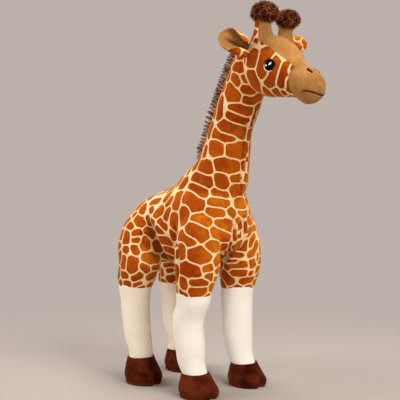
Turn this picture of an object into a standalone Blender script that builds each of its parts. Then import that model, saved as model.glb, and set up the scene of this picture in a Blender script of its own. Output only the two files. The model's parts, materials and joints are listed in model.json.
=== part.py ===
"""Standing plush giraffe, half a metre tall, as separate covers, fillings and trims.

The giraffe faces +X and stands on the plane z = 0. Its right side is -Y.
Every cover is a sewn plush shell with a wall, and every filling is the fibre inside it.
Legs, head, ears and tail are cut free of the body where they give, around their joints.
"""
import math

import bmesh
import bpy
import numpy as np
from mathutils import Matrix, Vector

# Fabric
WALL = 0.0025          # plush with its pile
GAP = 0.0003           # between pieces that touch
OVERRUN = 0.02         # how far a cutter runs past what it cuts

# Torso
BODY_LENGTH = 0.1838
BODY_DEPTH = 0.1133
BODY_WIDTH = 0.1054
BELLY_HEIGHT = 0.1627

# Legs
HIP_HEIGHT = 0.172
LEG_THICKNESS = 0.0395
LEG_TRACK = 0.087
STOCKING_TOP_HEIGHT = 0.1295
HIP_BARREL_RADIUS = 0.0316
KEEL_WIDTH = 0.0316
FRONT_REACH = {"right": 0.004, "left": 0.0125}
HIND_REACH = {"right": 0.0151, "left": 0.0046}
HIND_SET_BACK = {"right": 0.0, "left": -0.0105}
HIP_SWING = 14.0       # degrees by which a leg's socket widens downwards

# Hooves
HOOF_LENGTH = 0.0553
HOOF_WIDTH = 0.0474
HOOF_HEIGHT = 0.0303

# Neck
NECK_LEAN = 0.0975
NECK_RISE = 0.2042
NECK_THICKNESS = 0.0527
MANE_HEIGHT = 0.009
MANE_THICKNESS = 0.009
MANE_ROOT = 0.004

# Head
HEAD_LENGTH = 0.1054
HEAD_DEPTH = 0.0751
HEAD_WIDTH = 0.0685
HEAD_BALL_RADIUS = 0.0237
NECK_SEAM_DROP = 0.0125
NECK_SEAM_SLOPE = 45.0
BLAZE_REAR_WIDTH = 0.054
BLAZE_FRONT_WIDTH = 0.029
EYE_WIDTH = 0.0178
EYE_HEIGHT = 0.0174
EYE_THICKNESS = 0.0052

# Horns
HORN_HEIGHT = {"right": 0.0425, "left": 0.0385}
HORN_THICKNESS = 0.0206
TUFT_WIDTH = {"right": 0.0332, "left": 0.0306}
TUFT_HEIGHT = 0.0254

# Ears
EAR_LENGTH = 0.0460
EAR_WIDTH = 0.0350
EAR_CUP = 0.006
EAR_LAYER = 0.0029
EAR_LIFT = {"right": 14.0, "left": 22.0}
EAR_SWEEP = {"right": 6.0, "left": -13.0}

# Tail
TAIL_LENGTH = 0.088
TAIL_THICKNESS = 0.0088
TAIL_TUFT_LENGTH = 0.03
TAIL_TUFT_WIDTH = 0.0185

# Facets
BODY_SEGMENTS = 16
BODY_RINGS = 13
NECK_SEGMENTS = 16
NECK_RINGS = 14
HEAD_SEGMENTS = 18
HEAD_RINGS = 14
LEG_SEGMENTS = 12
UPPER_RINGS = 5
STOCKING_RINGS = 4
HOOF_RINGS = 6
SHOULDER_RINGS = 4
HORN_SEGMENTS = 12
HORN_RINGS = 5
TUFT_SEGMENTS = 14
TUFT_RINGS = 8
EAR_STEPS = 8
EAR_COLUMNS = 5
MANE_STEPS = 20
BALL_SEGMENTS = 24
BALL_RINGS = 9
EYE_SEGMENTS = 16
EYE_RINGS = 6
TAIL_SEGMENTS = 8
TAIL_STEPS = 8
BARREL_SEGMENTS = 16
SHARP_ANGLE = 50.0

SIDES = {"right": -1, "left": 1}

# Rows of the torso from rump to chest: along BODY_LENGTH, up BODY_DEPTH from the belly,
# half depth and half width as shares of the body's largest
TORSO_SHARES = [
    (0.000, 0.349, 0.093, 0.100),
    (0.018, 0.360, 0.395, 0.450),
    (0.072, 0.372, 0.605, 0.750),
    (0.179, 0.395, 0.790, 0.950),
    (0.337, 0.436, 0.895, 1.000),
    (0.516, 0.500, 0.953, 1.000),
    (0.695, 0.593, 1.000, 0.975),
    (0.839, 0.663, 0.965, 0.875),
    (0.939, 0.721, 0.733, 0.675),
    (1.000, 0.744, 0.280, 0.250),
]

# Rows of the neck from inside the chest up to the head: along NECK_LEAN, up NECK_RISE,
# half depth and half width as shares of half of NECK_THICKNESS
NECK_SHARES = [
    (0.000, 0.000, 1.800, 1.700),
    (0.216, 0.142, 1.725, 1.550),
    (0.392, 0.258, 1.500, 1.375),
    (0.486, 0.374, 1.250, 1.175),
    (0.545, 0.484, 1.120, 1.100),
    (0.619, 0.594, 1.060, 1.040),
    (0.711, 0.690, 1.030, 1.015),
    (0.800, 0.781, 1.015, 0.990),
    (0.884, 0.871, 0.990, 0.970),
    (0.959, 0.955, 0.965, 0.950),
    (1.060, 1.060, 0.960, 0.940),
]

# Rows of the head from the nape to the nose: along HEAD_LENGTH, rise as a share of it,
# half depth and half width as shares of the head's largest
HEAD_SHARES = [
    (0.000, 0.000, 0.175, 0.230),
    (0.050, 0.000, 0.600, 0.615),
    (0.150, -0.031, 0.860, 0.885),
    (0.300, -0.100, 1.000, 1.000),
    (0.462, -0.169, 0.947, 0.969),
    (0.600, -0.237, 0.772, 0.815),
    (0.700, -0.287, 0.639, 0.673),
    (0.788, -0.325, 0.596, 0.646),
    (0.875, -0.369, 0.575, 0.638),
    (0.952, -0.406, 0.449, 0.508),
    (1.000, -0.425, 0.175, 0.230),
]

# Rows of a leg from the shoulder down to the ankle: height as a share of HIP_HEIGHT,
# bend as a share of LEG_THICKNESS, shares of the hoof's reach and of the knee's set-back,
# side place as a share of half of LEG_TRACK, half depth and half width of LEG_THICKNESS
FRONT_LEG_SHARES = [
    (1.360, -0.017, 0.00, 0.0, 0.790, 0.930, 0.670),
    (1.268, -0.017, 0.00, 0.0, 0.880, 1.470, 1.200),
    (1.115, 0.000, 0.00, 0.0, 0.950, 1.633, 1.367),
    (0.946, 0.000, 0.00, 0.0, 0.985, 1.453, 1.333),
    (0.793, -0.077, 0.00, 0.0, 1.000, 1.213, 1.173),
    (0.701, -0.130, 0.00, 0.0, 1.000, 1.080, 1.093),
    (0.579, -0.160, 0.20, 0.0, 1.000, 1.013, 1.040),
    (0.387, -0.183, 0.40, 0.0, 1.000, 0.947, 0.987),
    (0.211, -0.193, 0.85, 0.0, 1.000, 0.880, 0.880),
    (0.180, -0.183, 1.00, 0.0, 1.000, 0.867, 0.867),
]
HIND_LEG_SHARES = [
    (1.345, 0.017, 0.0, 0.0, 0.730, 0.800, 0.670),
    (1.253, 0.033, 0.0, 0.0, 0.820, 1.133, 1.133),
    (1.100, 0.017, 0.0, 0.0, 0.940, 1.367, 1.300),
    (0.946, -0.023, 0.0, 0.5, 1.000, 1.373, 1.267),
    (0.762, -0.030, 0.0, 1.0, 1.000, 1.200, 1.147),
    (0.686, -0.017, 0.0, 1.0, 1.000, 1.067, 1.067),
    (0.563, -0.063, 0.2, 0.8, 1.000, 1.000, 1.013),
    (0.364, -0.155, 0.7, 0.3, 1.000, 0.947, 0.960),
    (0.211, -0.133, 1.0, 0.0, 1.000, 0.840, 0.840),
    (0.180, -0.183, 1.0, 0.0, 1.000, 0.853, 0.853),
]

# Rows of a hoof from under the ankle to the ground: height as a share of HOOF_HEIGHT,
# shift as a share of HOOF_LENGTH, half length and half width as shares of the hoof's own
HOOF_SHARES = [
    (0.804, -0.060, 0.824, 0.861),
    (0.457, -0.012, 1.000, 0.972),
    (0.174, 0.000, 1.000, 1.000),
    (0.000, 0.000, 0.833, 0.861),
]

# Rows of a horn from inside the head up: height, forward and outward lean as shares of the
# horn's height, half depth and half width as shares of half of HORN_THICKNESS
HORN_SHARES = [
    (0.00, 0.060, 0.000, 1.500, 1.200),
    (0.32, 0.085, 0.026, 1.200, 1.000),
    (0.65, 0.097, 0.042, 1.050, 0.970),
    (1.00, 0.106, 0.048, 1.000, 0.970),
]

# Rows of the tail from its root: back, sideways and down as shares of TAIL_LENGTH
TAIL_PATH_SHARES = [
    (0.00, 0.00, 0.00),
    (0.09, 0.01, 0.17),
    (0.17, 0.05, 0.42),
    (0.24, 0.09, 0.68),
    (0.28, 0.11, 0.96),
]

# Rows of the tail's tuft: along TAIL_TUFT_LENGTH, and TAIL_TUFT_WIDTH's share there
TAIL_TUFT_SHARES = [
    (0.00, 0.30),
    (0.12, 0.72),
    (0.45, 1.00),
    (0.75, 0.82),
    (1.00, 0.25),
]

# Along EAR_LENGTH, and EAR_WIDTH's share there
EAR_WIDTH_SHARES = [
    (0.00, 0.36),
    (0.10, 0.42),
    (0.30, 0.80),
    (0.55, 1.00),
    (0.78, 0.90),
    (0.92, 0.58),
    (1.00, 0.16),
]

# Places as shares of the piece that carries them
FRONT_HIP_SHARE = 0.8136       # of BODY_LENGTH from the rump
HIND_HIP_SHARE = 0.190
NECK_ROOT_ALONG_SHARE = 0.609  # of BODY_LENGTH
NECK_ROOT_UP_SHARE = 0.581     # of BODY_DEPTH above the belly
NOD_ALONG_SHARE = 0.919        # of NECK_LEAN
NOD_UP_SHARE = 0.910           # of NECK_RISE
HEAD_BACK_SHARE = 0.025        # of HEAD_LENGTH ahead of the nod axis
HEAD_UP_SHARE = 0.246          # of HEAD_DEPTH above it
MUZZLE_START_SHARE = 0.662     # of HEAD_LENGTH
BLAZE_REAR_SHARE = 0.240       # of HEAD_LENGTH
BLAZE_FLOOR_SHARE = 0.193      # of HEAD_DEPTH below the nape's centre
HORN_ALONG_SHARE = 0.3125      # of HEAD_LENGTH
HORN_SIDE_SHARE = 0.615        # of half of HEAD_WIDTH
HORN_ROOT_SHARE = 0.053        # of HEAD_DEPTH above the nape's centre
TUFT_UP_SHARE = 0.170          # of the horn's height above its top
EYE_ROW_SHARE = 0.478          # of the head's rows
EYE_TURN_SHARE = 0.217         # of a full turn from the crown to the side
EAR_ROW_SHARE = 0.190
EAR_TURN_SHARE = 0.190
TAIL_ROW_SHARE = 0.118         # of the torso's rows
MANE_START_SHARE = 0.372       # of the neck's rows
MANE_END_SHARE = 0.868
MANE_SHOULDER_SHARE = 0.72     # of the strip's height, where it starts to thin
MANE_TIP_SHARE = 0.45          # of the strip's thickness
EAR_ROOT_SHARES = (0.03, 0.3, 1.0)   # of the ear's half thickness, where its round root has rows
EAR_RIM_SHARE = 0.45           # of a layer's thickness
EAR_BEND_SHARE = 0.3           # of EAR_LENGTH
TAIL_ROOT_SHARES = (0.97, 0.75, 0.4)  # of half of TAIL_THICKNESS, as for the ear
TUFT_OVERLAP_SHARE = 0.3       # of TAIL_TUFT_LENGTH, which takes in the tail's end
SHOULDER_FLOOR_SHARE = 0.970   # of HIP_HEIGHT
SHOULDER_TOP_SHARE = {"front": 1.360, "hind": 1.345}


def spline(rows, count):
    """Points of a Catmull-Rom curve through the rows, evenly spread over them."""
    rows = np.asarray(rows, float)
    place = np.linspace(0, len(rows) - 1, count)
    return spline_at(rows, place)


def spline_at(rows, place):
    """The same curve's points at the given places, counted in rows."""
    rows = np.asarray(rows, float)
    place = np.atleast_1d(place)
    first = np.clip(place.astype(int), 0, len(rows) - 2)
    part = (place - first)[:, None]
    padded = np.vstack([2 * rows[0] - rows[1], rows, 2 * rows[-1] - rows[-2]])
    a, b, c, d = (padded[first + k] for k in range(4))
    return 0.5 * (2 * b + (c - a) * part + (2 * a - 5 * b + 4 * c - d) * part ** 2
                  + (3 * b - a - 3 * c + d) * part ** 3)


def by_height(rows, heights):
    """Rows interpolated at the given heights, the rows' first column, with smooth slopes."""
    rows = np.asarray(rows, float)[::-1]
    z = rows[:, 0]
    slopes = np.gradient(rows, z, axis=0)
    k = np.clip(np.searchsorted(z, heights, side="right") - 1, 0, len(z) - 2)
    step = (z[k + 1] - z[k])[:, None]
    t = ((heights - z[k]) / step[:, 0])[:, None]
    return ((1 + 2 * t) * (1 - t) ** 2 * rows[k] + t * (1 - t) ** 2 * step * slopes[k]
            + t ** 2 * (3 - 2 * t) * rows[k + 1] + t ** 2 * (t - 1) * step * slopes[k + 1])


def sagittal_rings(rows, turn):
    """Oval rings along a curve in the XZ plane; rows of x, z, half depth, half width."""
    along = np.gradient(rows[:, :2], axis=0)
    along /= np.linalg.norm(along, axis=1)[:, None]
    up_x, up_z = -along[:, 1, None], along[:, 0, None]
    x = rows[:, 0, None] + up_x * rows[:, 2, None] * np.cos(turn)
    z = rows[:, 1, None] + up_z * rows[:, 2, None] * np.cos(turn)
    y = rows[:, 3, None] * np.sin(turn) + 0 * x
    return np.stack([x, y, z], 2)


def circle(segments):
    """Angles of one ring."""
    return np.linspace(0, 2 * math.pi, segments, endpoint=False)


def push(rings, distance):
    """Rings moved out along their surface's normals, or in where the distance is negative."""
    along = np.gradient(rings, axis=0)
    around = np.roll(rings, -1, 1) - np.roll(rings, 1, 1)
    normal = np.cross(along, around)
    normal /= np.linalg.norm(normal, axis=2)[:, :, None]
    middle = rings.mean(axis=(0, 1))
    if ((rings - middle) * normal).sum() < 0:
        normal = -normal
    return rings + normal * distance


def solid(name, points, faces):
    """A closed mesh object whose faces point outwards."""
    mesh = bpy.data.meshes.new(name)
    mesh.from_pydata([tuple(p) for p in points], [], faces)
    work = bmesh.new()
    work.from_mesh(mesh)
    if work.calc_volume(signed=True) < 0:
        bmesh.ops.reverse_faces(work, faces=work.faces)
    bmesh.ops.triangulate(work, faces=work.faces, quad_method="FIXED")
    work.to_mesh(mesh)
    work.free()
    obj = bpy.data.objects.new(name, mesh)
    bpy.context.scene.collection.objects.link(obj)
    return obj


def ring_faces(rings, segments, start=0):
    """Quads between neighbouring rings that are stored one after another."""
    faces = []
    for i in range(rings - 1):
        for j in range(segments):
            a = start + i * segments + j
            b = start + i * segments + (j + 1) % segments
            faces.append((a, b, b + segments, a + segments))
    return faces


def loft(name, rings):
    """A closed solid through the rings, with a flat cap on each end."""
    count, segments = rings.shape[:2]
    faces = ring_faces(count, segments)
    faces.append(tuple(range(segments))[::-1])
    faces.append(tuple(range((count - 1) * segments, count * segments)))
    return solid(name, rings.reshape(-1, 3), faces)


def tube(name, outer, inner):
    """A wall between two stacks of rings, open at both ends."""
    count, segments = outer.shape[:2]
    size = count * segments
    faces = ring_faces(count, segments)
    faces += [face[::-1] for face in ring_faces(count, segments, size)]
    for ring in (0, count - 1):
        for j in range(segments):
            a = ring * segments + j
            b = ring * segments + (j + 1) % segments
            face = (a, a + size, b + size, b)
            faces.append(face if ring == 0 else face[::-1])
    return solid(name, np.vstack([outer.reshape(-1, 3), inner.reshape(-1, 3)]), faces)


def ball(name, centre, radii, segments, count):
    """An ellipsoid with its poles on the vertical."""
    work = bmesh.new()
    bmesh.ops.create_uvsphere(work, u_segments=segments, v_segments=count, radius=1.0)
    points = [Vector(centre) + Vector([c * r for c, r in zip(v.co, radii)]) for v in work.verts]
    faces = [[v.index for v in face.verts] for face in work.faces]
    work.free()
    return solid(name, points, faces)


def prism(name, outline, low, high, axis):
    """An outline in the other two axes, carried along one axis from low to high."""
    points = []
    for level in (low, high):
        for a, b in outline:
            point = [a, b]
            point.insert(axis, level)
            points.append(point)
    count = len(outline)
    faces = ring_faces(2, count)
    faces.append(tuple(range(count))[::-1])
    faces.append(tuple(range(count, 2 * count)))
    return solid(name, points, faces)


def combine(target, other, operation, keep=False):
    """Boolean of two solids, applied; the other one is removed unless it is kept."""
    modifier = target.modifiers.new("boolean", "BOOLEAN")
    modifier.operation = operation
    modifier.solver = "EXACT"
    modifier.object = other
    depsgraph = bpy.context.evaluated_depsgraph_get()
    mesh = bpy.data.meshes.new_from_object(target.evaluated_get(depsgraph))
    target.modifiers.clear()
    target.data = mesh
    if not keep:
        bpy.data.objects.remove(other)
    return target


def cut(target, other, keep=False):
    return combine(target, other, "DIFFERENCE", keep)


def copy_of(obj, name):
    twin = bpy.data.objects.new(name, obj.data.copy())
    bpy.context.scene.collection.objects.link(twin)
    return twin


# Torso, neck and head rows in metres

def torso_rows():
    shares = np.array(TORSO_SHARES)
    return np.column_stack([shares[:, 0] * BODY_LENGTH,
                            BELLY_HEIGHT + shares[:, 1] * BODY_DEPTH,
                            shares[:, 2] * BODY_DEPTH / 2,
                            shares[:, 3] * BODY_WIDTH / 2])


def neck_root():
    return (NECK_ROOT_ALONG_SHARE * BODY_LENGTH, BELLY_HEIGHT + NECK_ROOT_UP_SHARE * BODY_DEPTH)


def neck_rows():
    shares = np.array(NECK_SHARES)
    x, z = neck_root()
    return np.column_stack([x + shares[:, 0] * NECK_LEAN, z + shares[:, 1] * NECK_RISE,
                            shares[:, 2] * NECK_THICKNESS / 2, shares[:, 3] * NECK_THICKNESS / 2])


def nod_axis():
    """Where the head gives on the neck."""
    x, z = neck_root()
    return np.array([x + NOD_ALONG_SHARE * NECK_LEAN, 0, z + NOD_UP_SHARE * NECK_RISE])


def nape():
    """Centre of the head's first row."""
    return nod_axis() + np.array([HEAD_BACK_SHARE * HEAD_LENGTH, 0, HEAD_UP_SHARE * HEAD_DEPTH])


def head_rows():
    shares = np.array(HEAD_SHARES)
    x, _, z = nape()
    return np.column_stack([x + shares[:, 0] * HEAD_LENGTH, z + shares[:, 1] * HEAD_LENGTH,
                            shares[:, 2] * HEAD_DEPTH / 2, shares[:, 3] * HEAD_WIDTH / 2])


def surface_point(rings, row_share, turn_share, side):
    """Point and outward normal on the facets between the rings' corners."""
    row, down = divmod(row_share * (len(rings) - 1), 1)
    column, over = divmod(turn_share * rings.shape[1], 1)
    row, column = int(row), int(column)
    a, b = rings[row, column], rings[row, column + 1]
    c, d = rings[row + 1, column], rings[row + 1, column + 1]
    upper = a + (b - a) * over
    lower = c + (d - c) * over
    point = upper + (lower - upper) * down
    normal = np.cross(lower - upper, (b - a) * (1 - down) + (d - c) * down)
    normal /= np.linalg.norm(normal)
    if normal @ (point - rings[row].mean(axis=0)) < 0:
        normal = -normal
    return point * (1, side, 1), normal * (1, side, 1)


# Legs

class Leg:
    """One leg: its profile by height, its hip joint and its swing."""

    def __init__(self, pair, side):
        self.name = pair + "_" + side
        self.pair = pair
        self.sign = SIDES[side]
        front = pair == "front"
        self.hip_x = (FRONT_HIP_SHARE if front else HIND_HIP_SHARE) * BODY_LENGTH
        reach = (FRONT_REACH if front else HIND_REACH)[side]
        back = 0 if front else HIND_SET_BACK[side]
        rows = []
        for z, bend, reached, set_back, y, depth, width in FRONT_LEG_SHARES if front else HIND_LEG_SHARES:
            rows.append((z * HIP_HEIGHT,
                         self.hip_x + bend * LEG_THICKNESS + reached * reach + set_back * back,
                         y * LEG_TRACK / 2,
                         depth * LEG_THICKNESS / 2,
                         width * LEG_THICKNESS / 2))
        for z, shift, length, width in HOOF_SHARES:
            rows.append((z * HOOF_HEIGHT,
                         self.hip_x + reach + shift * HOOF_LENGTH,
                         LEG_TRACK / 2,
                         length * HOOF_LENGTH / 2,
                         width * HOOF_WIDTH / 2))
        self.rows = rows
        self.hinge = np.array([by_height(rows, np.array([HIP_HEIGHT]))[0, 1], 0, HIP_HEIGHT])

    def rings(self, heights, inset):
        """Level oval rings at the given heights, drawn in by the inset."""
        rows = by_height(self.rows, np.asarray(heights, float))
        turn = circle(LEG_SEGMENTS)
        x = rows[:, 1, None] + (rows[:, 3, None] - inset) * np.cos(turn)
        y = rows[:, 2, None] + (rows[:, 4, None] - inset) * np.sin(turn)
        z = rows[:, 0, None] + 0 * x
        return np.stack([x, self.sign * y, z], 2)

    def shoulder(self, outward):
        """The part of the leg's form that belongs to the torso."""
        top = SHOULDER_TOP_SHARE[self.pair] * HIP_HEIGHT
        heights = np.linspace(SHOULDER_FLOOR_SHARE * HIP_HEIGHT, top + min(outward, 0), SHOULDER_RINGS)
        return loft("shoulder", self.rings(heights, -outward))

    def barrel(self, radius, flare):
        """A round top about the hip axis, widening downwards by the flare angle, as an outline."""
        turn = np.linspace(-flare, math.pi + flare, BARREL_SEGMENTS)
        outline = [(self.hinge[0] + radius * math.cos(a), HIP_HEIGHT + radius * math.sin(a))
                   for a in turn]
        drop = HIP_HEIGHT + OVERRUN
        spread = radius / math.cos(flare) + drop * math.tan(flare)
        outline.append((self.hinge[0] - spread, HIP_HEIGHT - drop))
        outline.append((self.hinge[0] + spread, HIP_HEIGHT - drop))
        return outline

    def socket(self):
        """The room for the leg's top in the torso, from the keel outwards."""
        inner = self.sign * KEEL_WIDTH / 2
        outer = self.sign * (LEG_TRACK / 2 + LEG_THICKNESS + OVERRUN)
        return prism("socket", self.barrel(HIP_BARREL_RADIUS + GAP, math.radians(HIP_SWING)),
                     min(inner, outer), max(inner, outer), 1)

    def trim_top(self, piece):
        """Cuts a piece of the leg to its round top and to the torso's keel."""
        inner = self.sign * (KEEL_WIDTH / 2 + GAP)
        outer = self.sign * (LEG_TRACK / 2 + LEG_THICKNESS + OVERRUN)
        half_foot = HOOF_LENGTH + OVERRUN
        turn = np.linspace(0, math.pi, BARREL_SEGMENTS)
        outline = [(self.hinge[0] + HIP_BARREL_RADIUS * math.cos(a),
                    HIP_HEIGHT + HIP_BARREL_RADIUS * math.sin(a)) for a in turn]
        outline += [(self.hinge[0] - half_foot, HIP_HEIGHT), (self.hinge[0] - half_foot, -OVERRUN),
                    (self.hinge[0] + half_foot, -OVERRUN), (self.hinge[0] + half_foot, HIP_HEIGHT)]
        keep = prism("keep", outline, min(inner, outer), max(inner, outer), 1)
        return combine(piece, keep, "INTERSECT")

    def upper_heights(self):
        return np.linspace(STOCKING_TOP_HEIGHT, HIP_HEIGHT + HIP_BARREL_RADIUS + GAP, UPPER_RINGS)

    def stocking_heights(self):
        return np.linspace(HOOF_HEIGHT, STOCKING_TOP_HEIGHT - GAP, STOCKING_RINGS)

    def hoof_heights(self):
        return np.linspace(WALL + GAP, HOOF_HEIGHT - GAP, HOOF_RINGS)

    def wall(self, name, heights):
        return tube(self.name + name, self.rings(heights, 0), self.rings(heights, WALL))

    def pieces(self):
        """Upper cover, stocking, hoof, sole, and the filling that runs down through them."""
        upper = self.trim_top(self.wall("_upper_cover", self.upper_heights()))
        stocking = self.wall("_stocking", self.stocking_heights())
        hoof = self.wall("_hoof_cover", self.hoof_heights())
        sole = loft(self.name + "_sole", self.rings(np.linspace(0, WALL, 2), 0))
        heights = np.concatenate([[WALL + 2 * GAP], self.hoof_heights()[1:], self.stocking_heights(),
                                  self.upper_heights()])
        filling = loft(self.name + "_filling", self.rings(heights, WALL + GAP))
        return [upper, stocking, hoof, sole, self.trim_top(filling)]


LEGS = [Leg(pair, side) for pair in ("front", "hind") for side in SIDES]


def torso_rings():
    return sagittal_rings(spline(torso_rows(), BODY_RINGS), circle(BODY_SEGMENTS))


def trunk_solid(outward):
    """Torso with its shoulders and haunches, grown or shrunk by a distance."""
    trunk = loft("trunk", push(torso_rings(), outward))
    for leg in LEGS:
        combine(trunk, leg.shoulder(outward), "UNION")
    return trunk


def neck_solid(outward):
    rings = sagittal_rings(spline(neck_rows(), NECK_RINGS), circle(NECK_SEGMENTS))
    return loft("neck", push(rings, outward))


def head_ball(outward):
    """The head's round seat, with its poles on the nod axis, so that its facets clear the neck's."""
    radius = HEAD_BALL_RADIUS + outward
    seat = ball("head_ball", (0, 0, 0), (radius, radius, radius), BALL_SEGMENTS, BALL_RINGS)
    seat.data.transform(Matrix.Translation(nod_axis()) @ Matrix.Rotation(math.pi / 2, 4, "X"))
    return seat


def head_rings():
    return sagittal_rings(spline(head_rows(), HEAD_RINGS), circle(HEAD_SEGMENTS))


def head_solid(outward):
    """The head's form with the ball on which it sits in the neck."""
    head = loft("head", push(head_rings(), outward))
    return combine(head, head_ball(outward), "UNION")


def torso_pieces():
    cover = trunk_solid(0)
    cover.name = "torso_cover"
    cut(cover, trunk_solid(-WALL))
    cut(cover, neck_solid(-WALL))
    filling = trunk_solid(-WALL - GAP)
    filling.name = "torso_filling"
    for leg in LEGS:
        cut(cover, leg.socket())
        cut(filling, leg.socket())
    return [cover, filling]


def above_neck_seam():
    """Everything on the head's side of the sloping seam between neck and head."""
    slope = math.radians(NECK_SEAM_SLOPE)
    centre = nod_axis()
    up = np.array([math.cos(slope), math.sin(slope)])
    across = np.array([-up[1], up[0]])
    middle = centre[[0, 2]] - up * NECK_SEAM_DROP
    reach = NECK_THICKNESS + OVERRUN
    outline = [middle - across * reach, middle + across * reach,
               middle + across * reach + up * reach * 2, middle - across * reach + up * reach * 2]
    return prism("above_seam", outline, -reach, reach, 1)


def neck_pieces():
    cover = neck_solid(0)
    cover.name = "neck_cover"
    cut(cover, neck_solid(-WALL))
    filling = neck_solid(-WALL - GAP)
    filling.name = "neck_filling"
    cut(cover, trunk_solid(GAP))
    cut(filling, trunk_solid(-WALL))
    for piece in (cover, filling):
        cut(piece, above_neck_seam())
        cut(piece, head_ball(GAP))
    return [cover, filling]


def mane_piece():
    """A strip on the back of the neck, cut to the neck's and the torso's surface."""
    rows = neck_rows()
    last = len(rows) - 1
    place = np.linspace(MANE_START_SHARE * last, MANE_END_SHARE * last, MANE_STEPS)
    rows = spline_at(rows, place)
    along = np.gradient(rows[:, :2], axis=0)
    along /= np.linalg.norm(along, axis=1)[:, None]
    back = np.column_stack([-along[:, 1], along[:, 0]])
    inner = rows[:, :2] + back * (rows[:, 2, None] - MANE_ROOT)
    tip = rows[:, :2] + back * (rows[:, 2, None] + MANE_HEIGHT)
    half = MANE_THICKNESS / 2
    rings = []
    for low, high in zip(inner, tip):
        shoulder = low + (high - low) * MANE_SHOULDER_SHARE
        rings.append([(low[0], -half, low[1]), (shoulder[0], -half, shoulder[1]),
                      (high[0], -half * MANE_TIP_SHARE, high[1]),
                      (high[0], half * MANE_TIP_SHARE, high[1]),
                      (shoulder[0], half, shoulder[1]), (low[0], half, low[1])])
    mane = loft("mane", np.array(rings))
    cut(mane, neck_solid(GAP))
    cut(mane, trunk_solid(GAP))
    return mane


def blaze_prism(outward):
    """Room of the tan panel, seen from above a band that narrows towards the muzzle."""
    x, _, z = nape()
    rear = x + BLAZE_REAR_SHARE * HEAD_LENGTH - outward
    front = x + MUZZLE_START_SHARE * HEAD_LENGTH + OVERRUN
    length = (MUZZLE_START_SHARE - BLAZE_REAR_SHARE) * HEAD_LENGTH
    narrowing = (BLAZE_REAR_WIDTH - BLAZE_FRONT_WIDTH) / 2 / length
    half_rear = BLAZE_REAR_WIDTH / 2 + outward
    half_front = half_rear - narrowing * (front - rear)
    outline = [(rear, -half_rear), (front, -half_front), (front, half_front), (rear, half_rear)]
    return prism("blaze", outline, z - BLAZE_FLOOR_SHARE * HEAD_DEPTH - outward,
                 z + HEAD_DEPTH, 2)


def half_space(name, x, sign):
    """A block on one side of a plane across the head."""
    size = HEAD_LENGTH * 2
    centre = nape()
    low, high = sorted((x, x + sign * size))
    outline = [(-size, centre[2] - size), (size, centre[2] - size),
               (size, centre[2] + size), (-size, centre[2] + size)]
    return prism(name, outline, low, high, 0)


def head_pieces():
    shell = cut(head_solid(0), head_solid(-WALL))
    seam = nape()[0] + MUZZLE_START_SHARE * HEAD_LENGTH
    muzzle = copy_of(shell, "muzzle_cover")
    cut(muzzle, half_space("behind", seam + GAP / 2, -1))
    cut(shell, half_space("ahead", seam - GAP / 2, 1))
    blaze = combine(copy_of(shell, "blaze_panel"), blaze_prism(0), "INTERSECT")
    cut(shell, blaze_prism(GAP))
    shell.name = "head_cover"
    filling = head_solid(-WALL - GAP)
    filling.name = "head_filling"
    return {"head_cover": shell, "blaze_panel": blaze, "muzzle_cover": muzzle,
            "head_filling": filling}


def horn_rings(side, outward, heights=HORN_RINGS):
    rows = spline(HORN_SHARES, heights)
    sign = SIDES[side]
    tall = HORN_HEIGHT[side]
    x, _, z = nape()
    turn = circle(HORN_SEGMENTS)
    centre_x = x + HORN_ALONG_SHARE * HEAD_LENGTH + rows[:, 1] * tall
    centre_y = HORN_SIDE_SHARE * HEAD_WIDTH / 2 + rows[:, 2] * tall
    depth = rows[:, 3, None] * HORN_THICKNESS / 2 + outward
    width = rows[:, 4, None] * HORN_THICKNESS / 2 + outward
    top = np.where(np.arange(heights) == heights - 1, outward, 0)
    level = z + HORN_ROOT_SHARE * HEAD_DEPTH + rows[:, 0] * tall + top
    points_x = centre_x[:, None] + depth * np.cos(turn)
    points_y = centre_y[:, None] + width * np.sin(turn)
    return np.stack([points_x, sign * points_y, level[:, None] + 0 * points_x], 2)


def horn_pieces(side):
    """Cover, filling and fur tuft of one horn, which stands on the head."""
    cover = loft(side + "_horn_cover", horn_rings(side, 0))
    inner = horn_rings(side, -WALL)
    cut(cover, loft("inner", np.vstack([inner[:1] - (0, 0, OVERRUN), inner])))
    cut(cover, head_solid(GAP))
    filling = loft(side + "_horn_filling", horn_rings(side, -WALL - GAP))
    cut(filling, head_solid(GAP))
    rings = horn_rings(side, 0)
    tip = rings[-1].mean(axis=0)
    centre = tip + np.array([0, 0, TUFT_UP_SHARE * HORN_HEIGHT[side]])
    half = TUFT_WIDTH[side] / 2
    tuft = ball(side + "_horn_tuft", centre, (half, half, TUFT_HEIGHT / 2), TUFT_SEGMENTS, TUFT_RINGS)
    cut(tuft, loft("horn", horn_rings(side, GAP)))
    return [cover, filling, tuft]


def eye_piece(side):
    """A thin embroidered oval that lies on the cheek."""
    point, normal = surface_point(head_rings(), EYE_ROW_SHARE, EYE_TURN_SHARE, SIDES[side])
    eye = ball(side + "_eye", (0, 0, 0), (EYE_WIDTH / 2, EYE_HEIGHT / 2, EYE_THICKNESS / 2),
               EYE_SEGMENTS, EYE_RINGS)
    turn = Vector(normal).to_track_quat("Z", "Y").to_matrix().to_4x4()
    turn.translation = Vector(point)
    eye.data.transform(turn)
    cut(eye, head_solid(GAP))
    return eye


def ear_root(side):
    """An ear's hinge point beside the head, and how far the head's surface there faces up."""
    point, normal = surface_point(head_rings(), EAR_ROW_SHARE, EAR_TURN_SHARE, SIDES[side])
    return point + normal * (EAR_LAYER + 1.5 * GAP), math.atan2(normal[2], abs(normal[1]))


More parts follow.
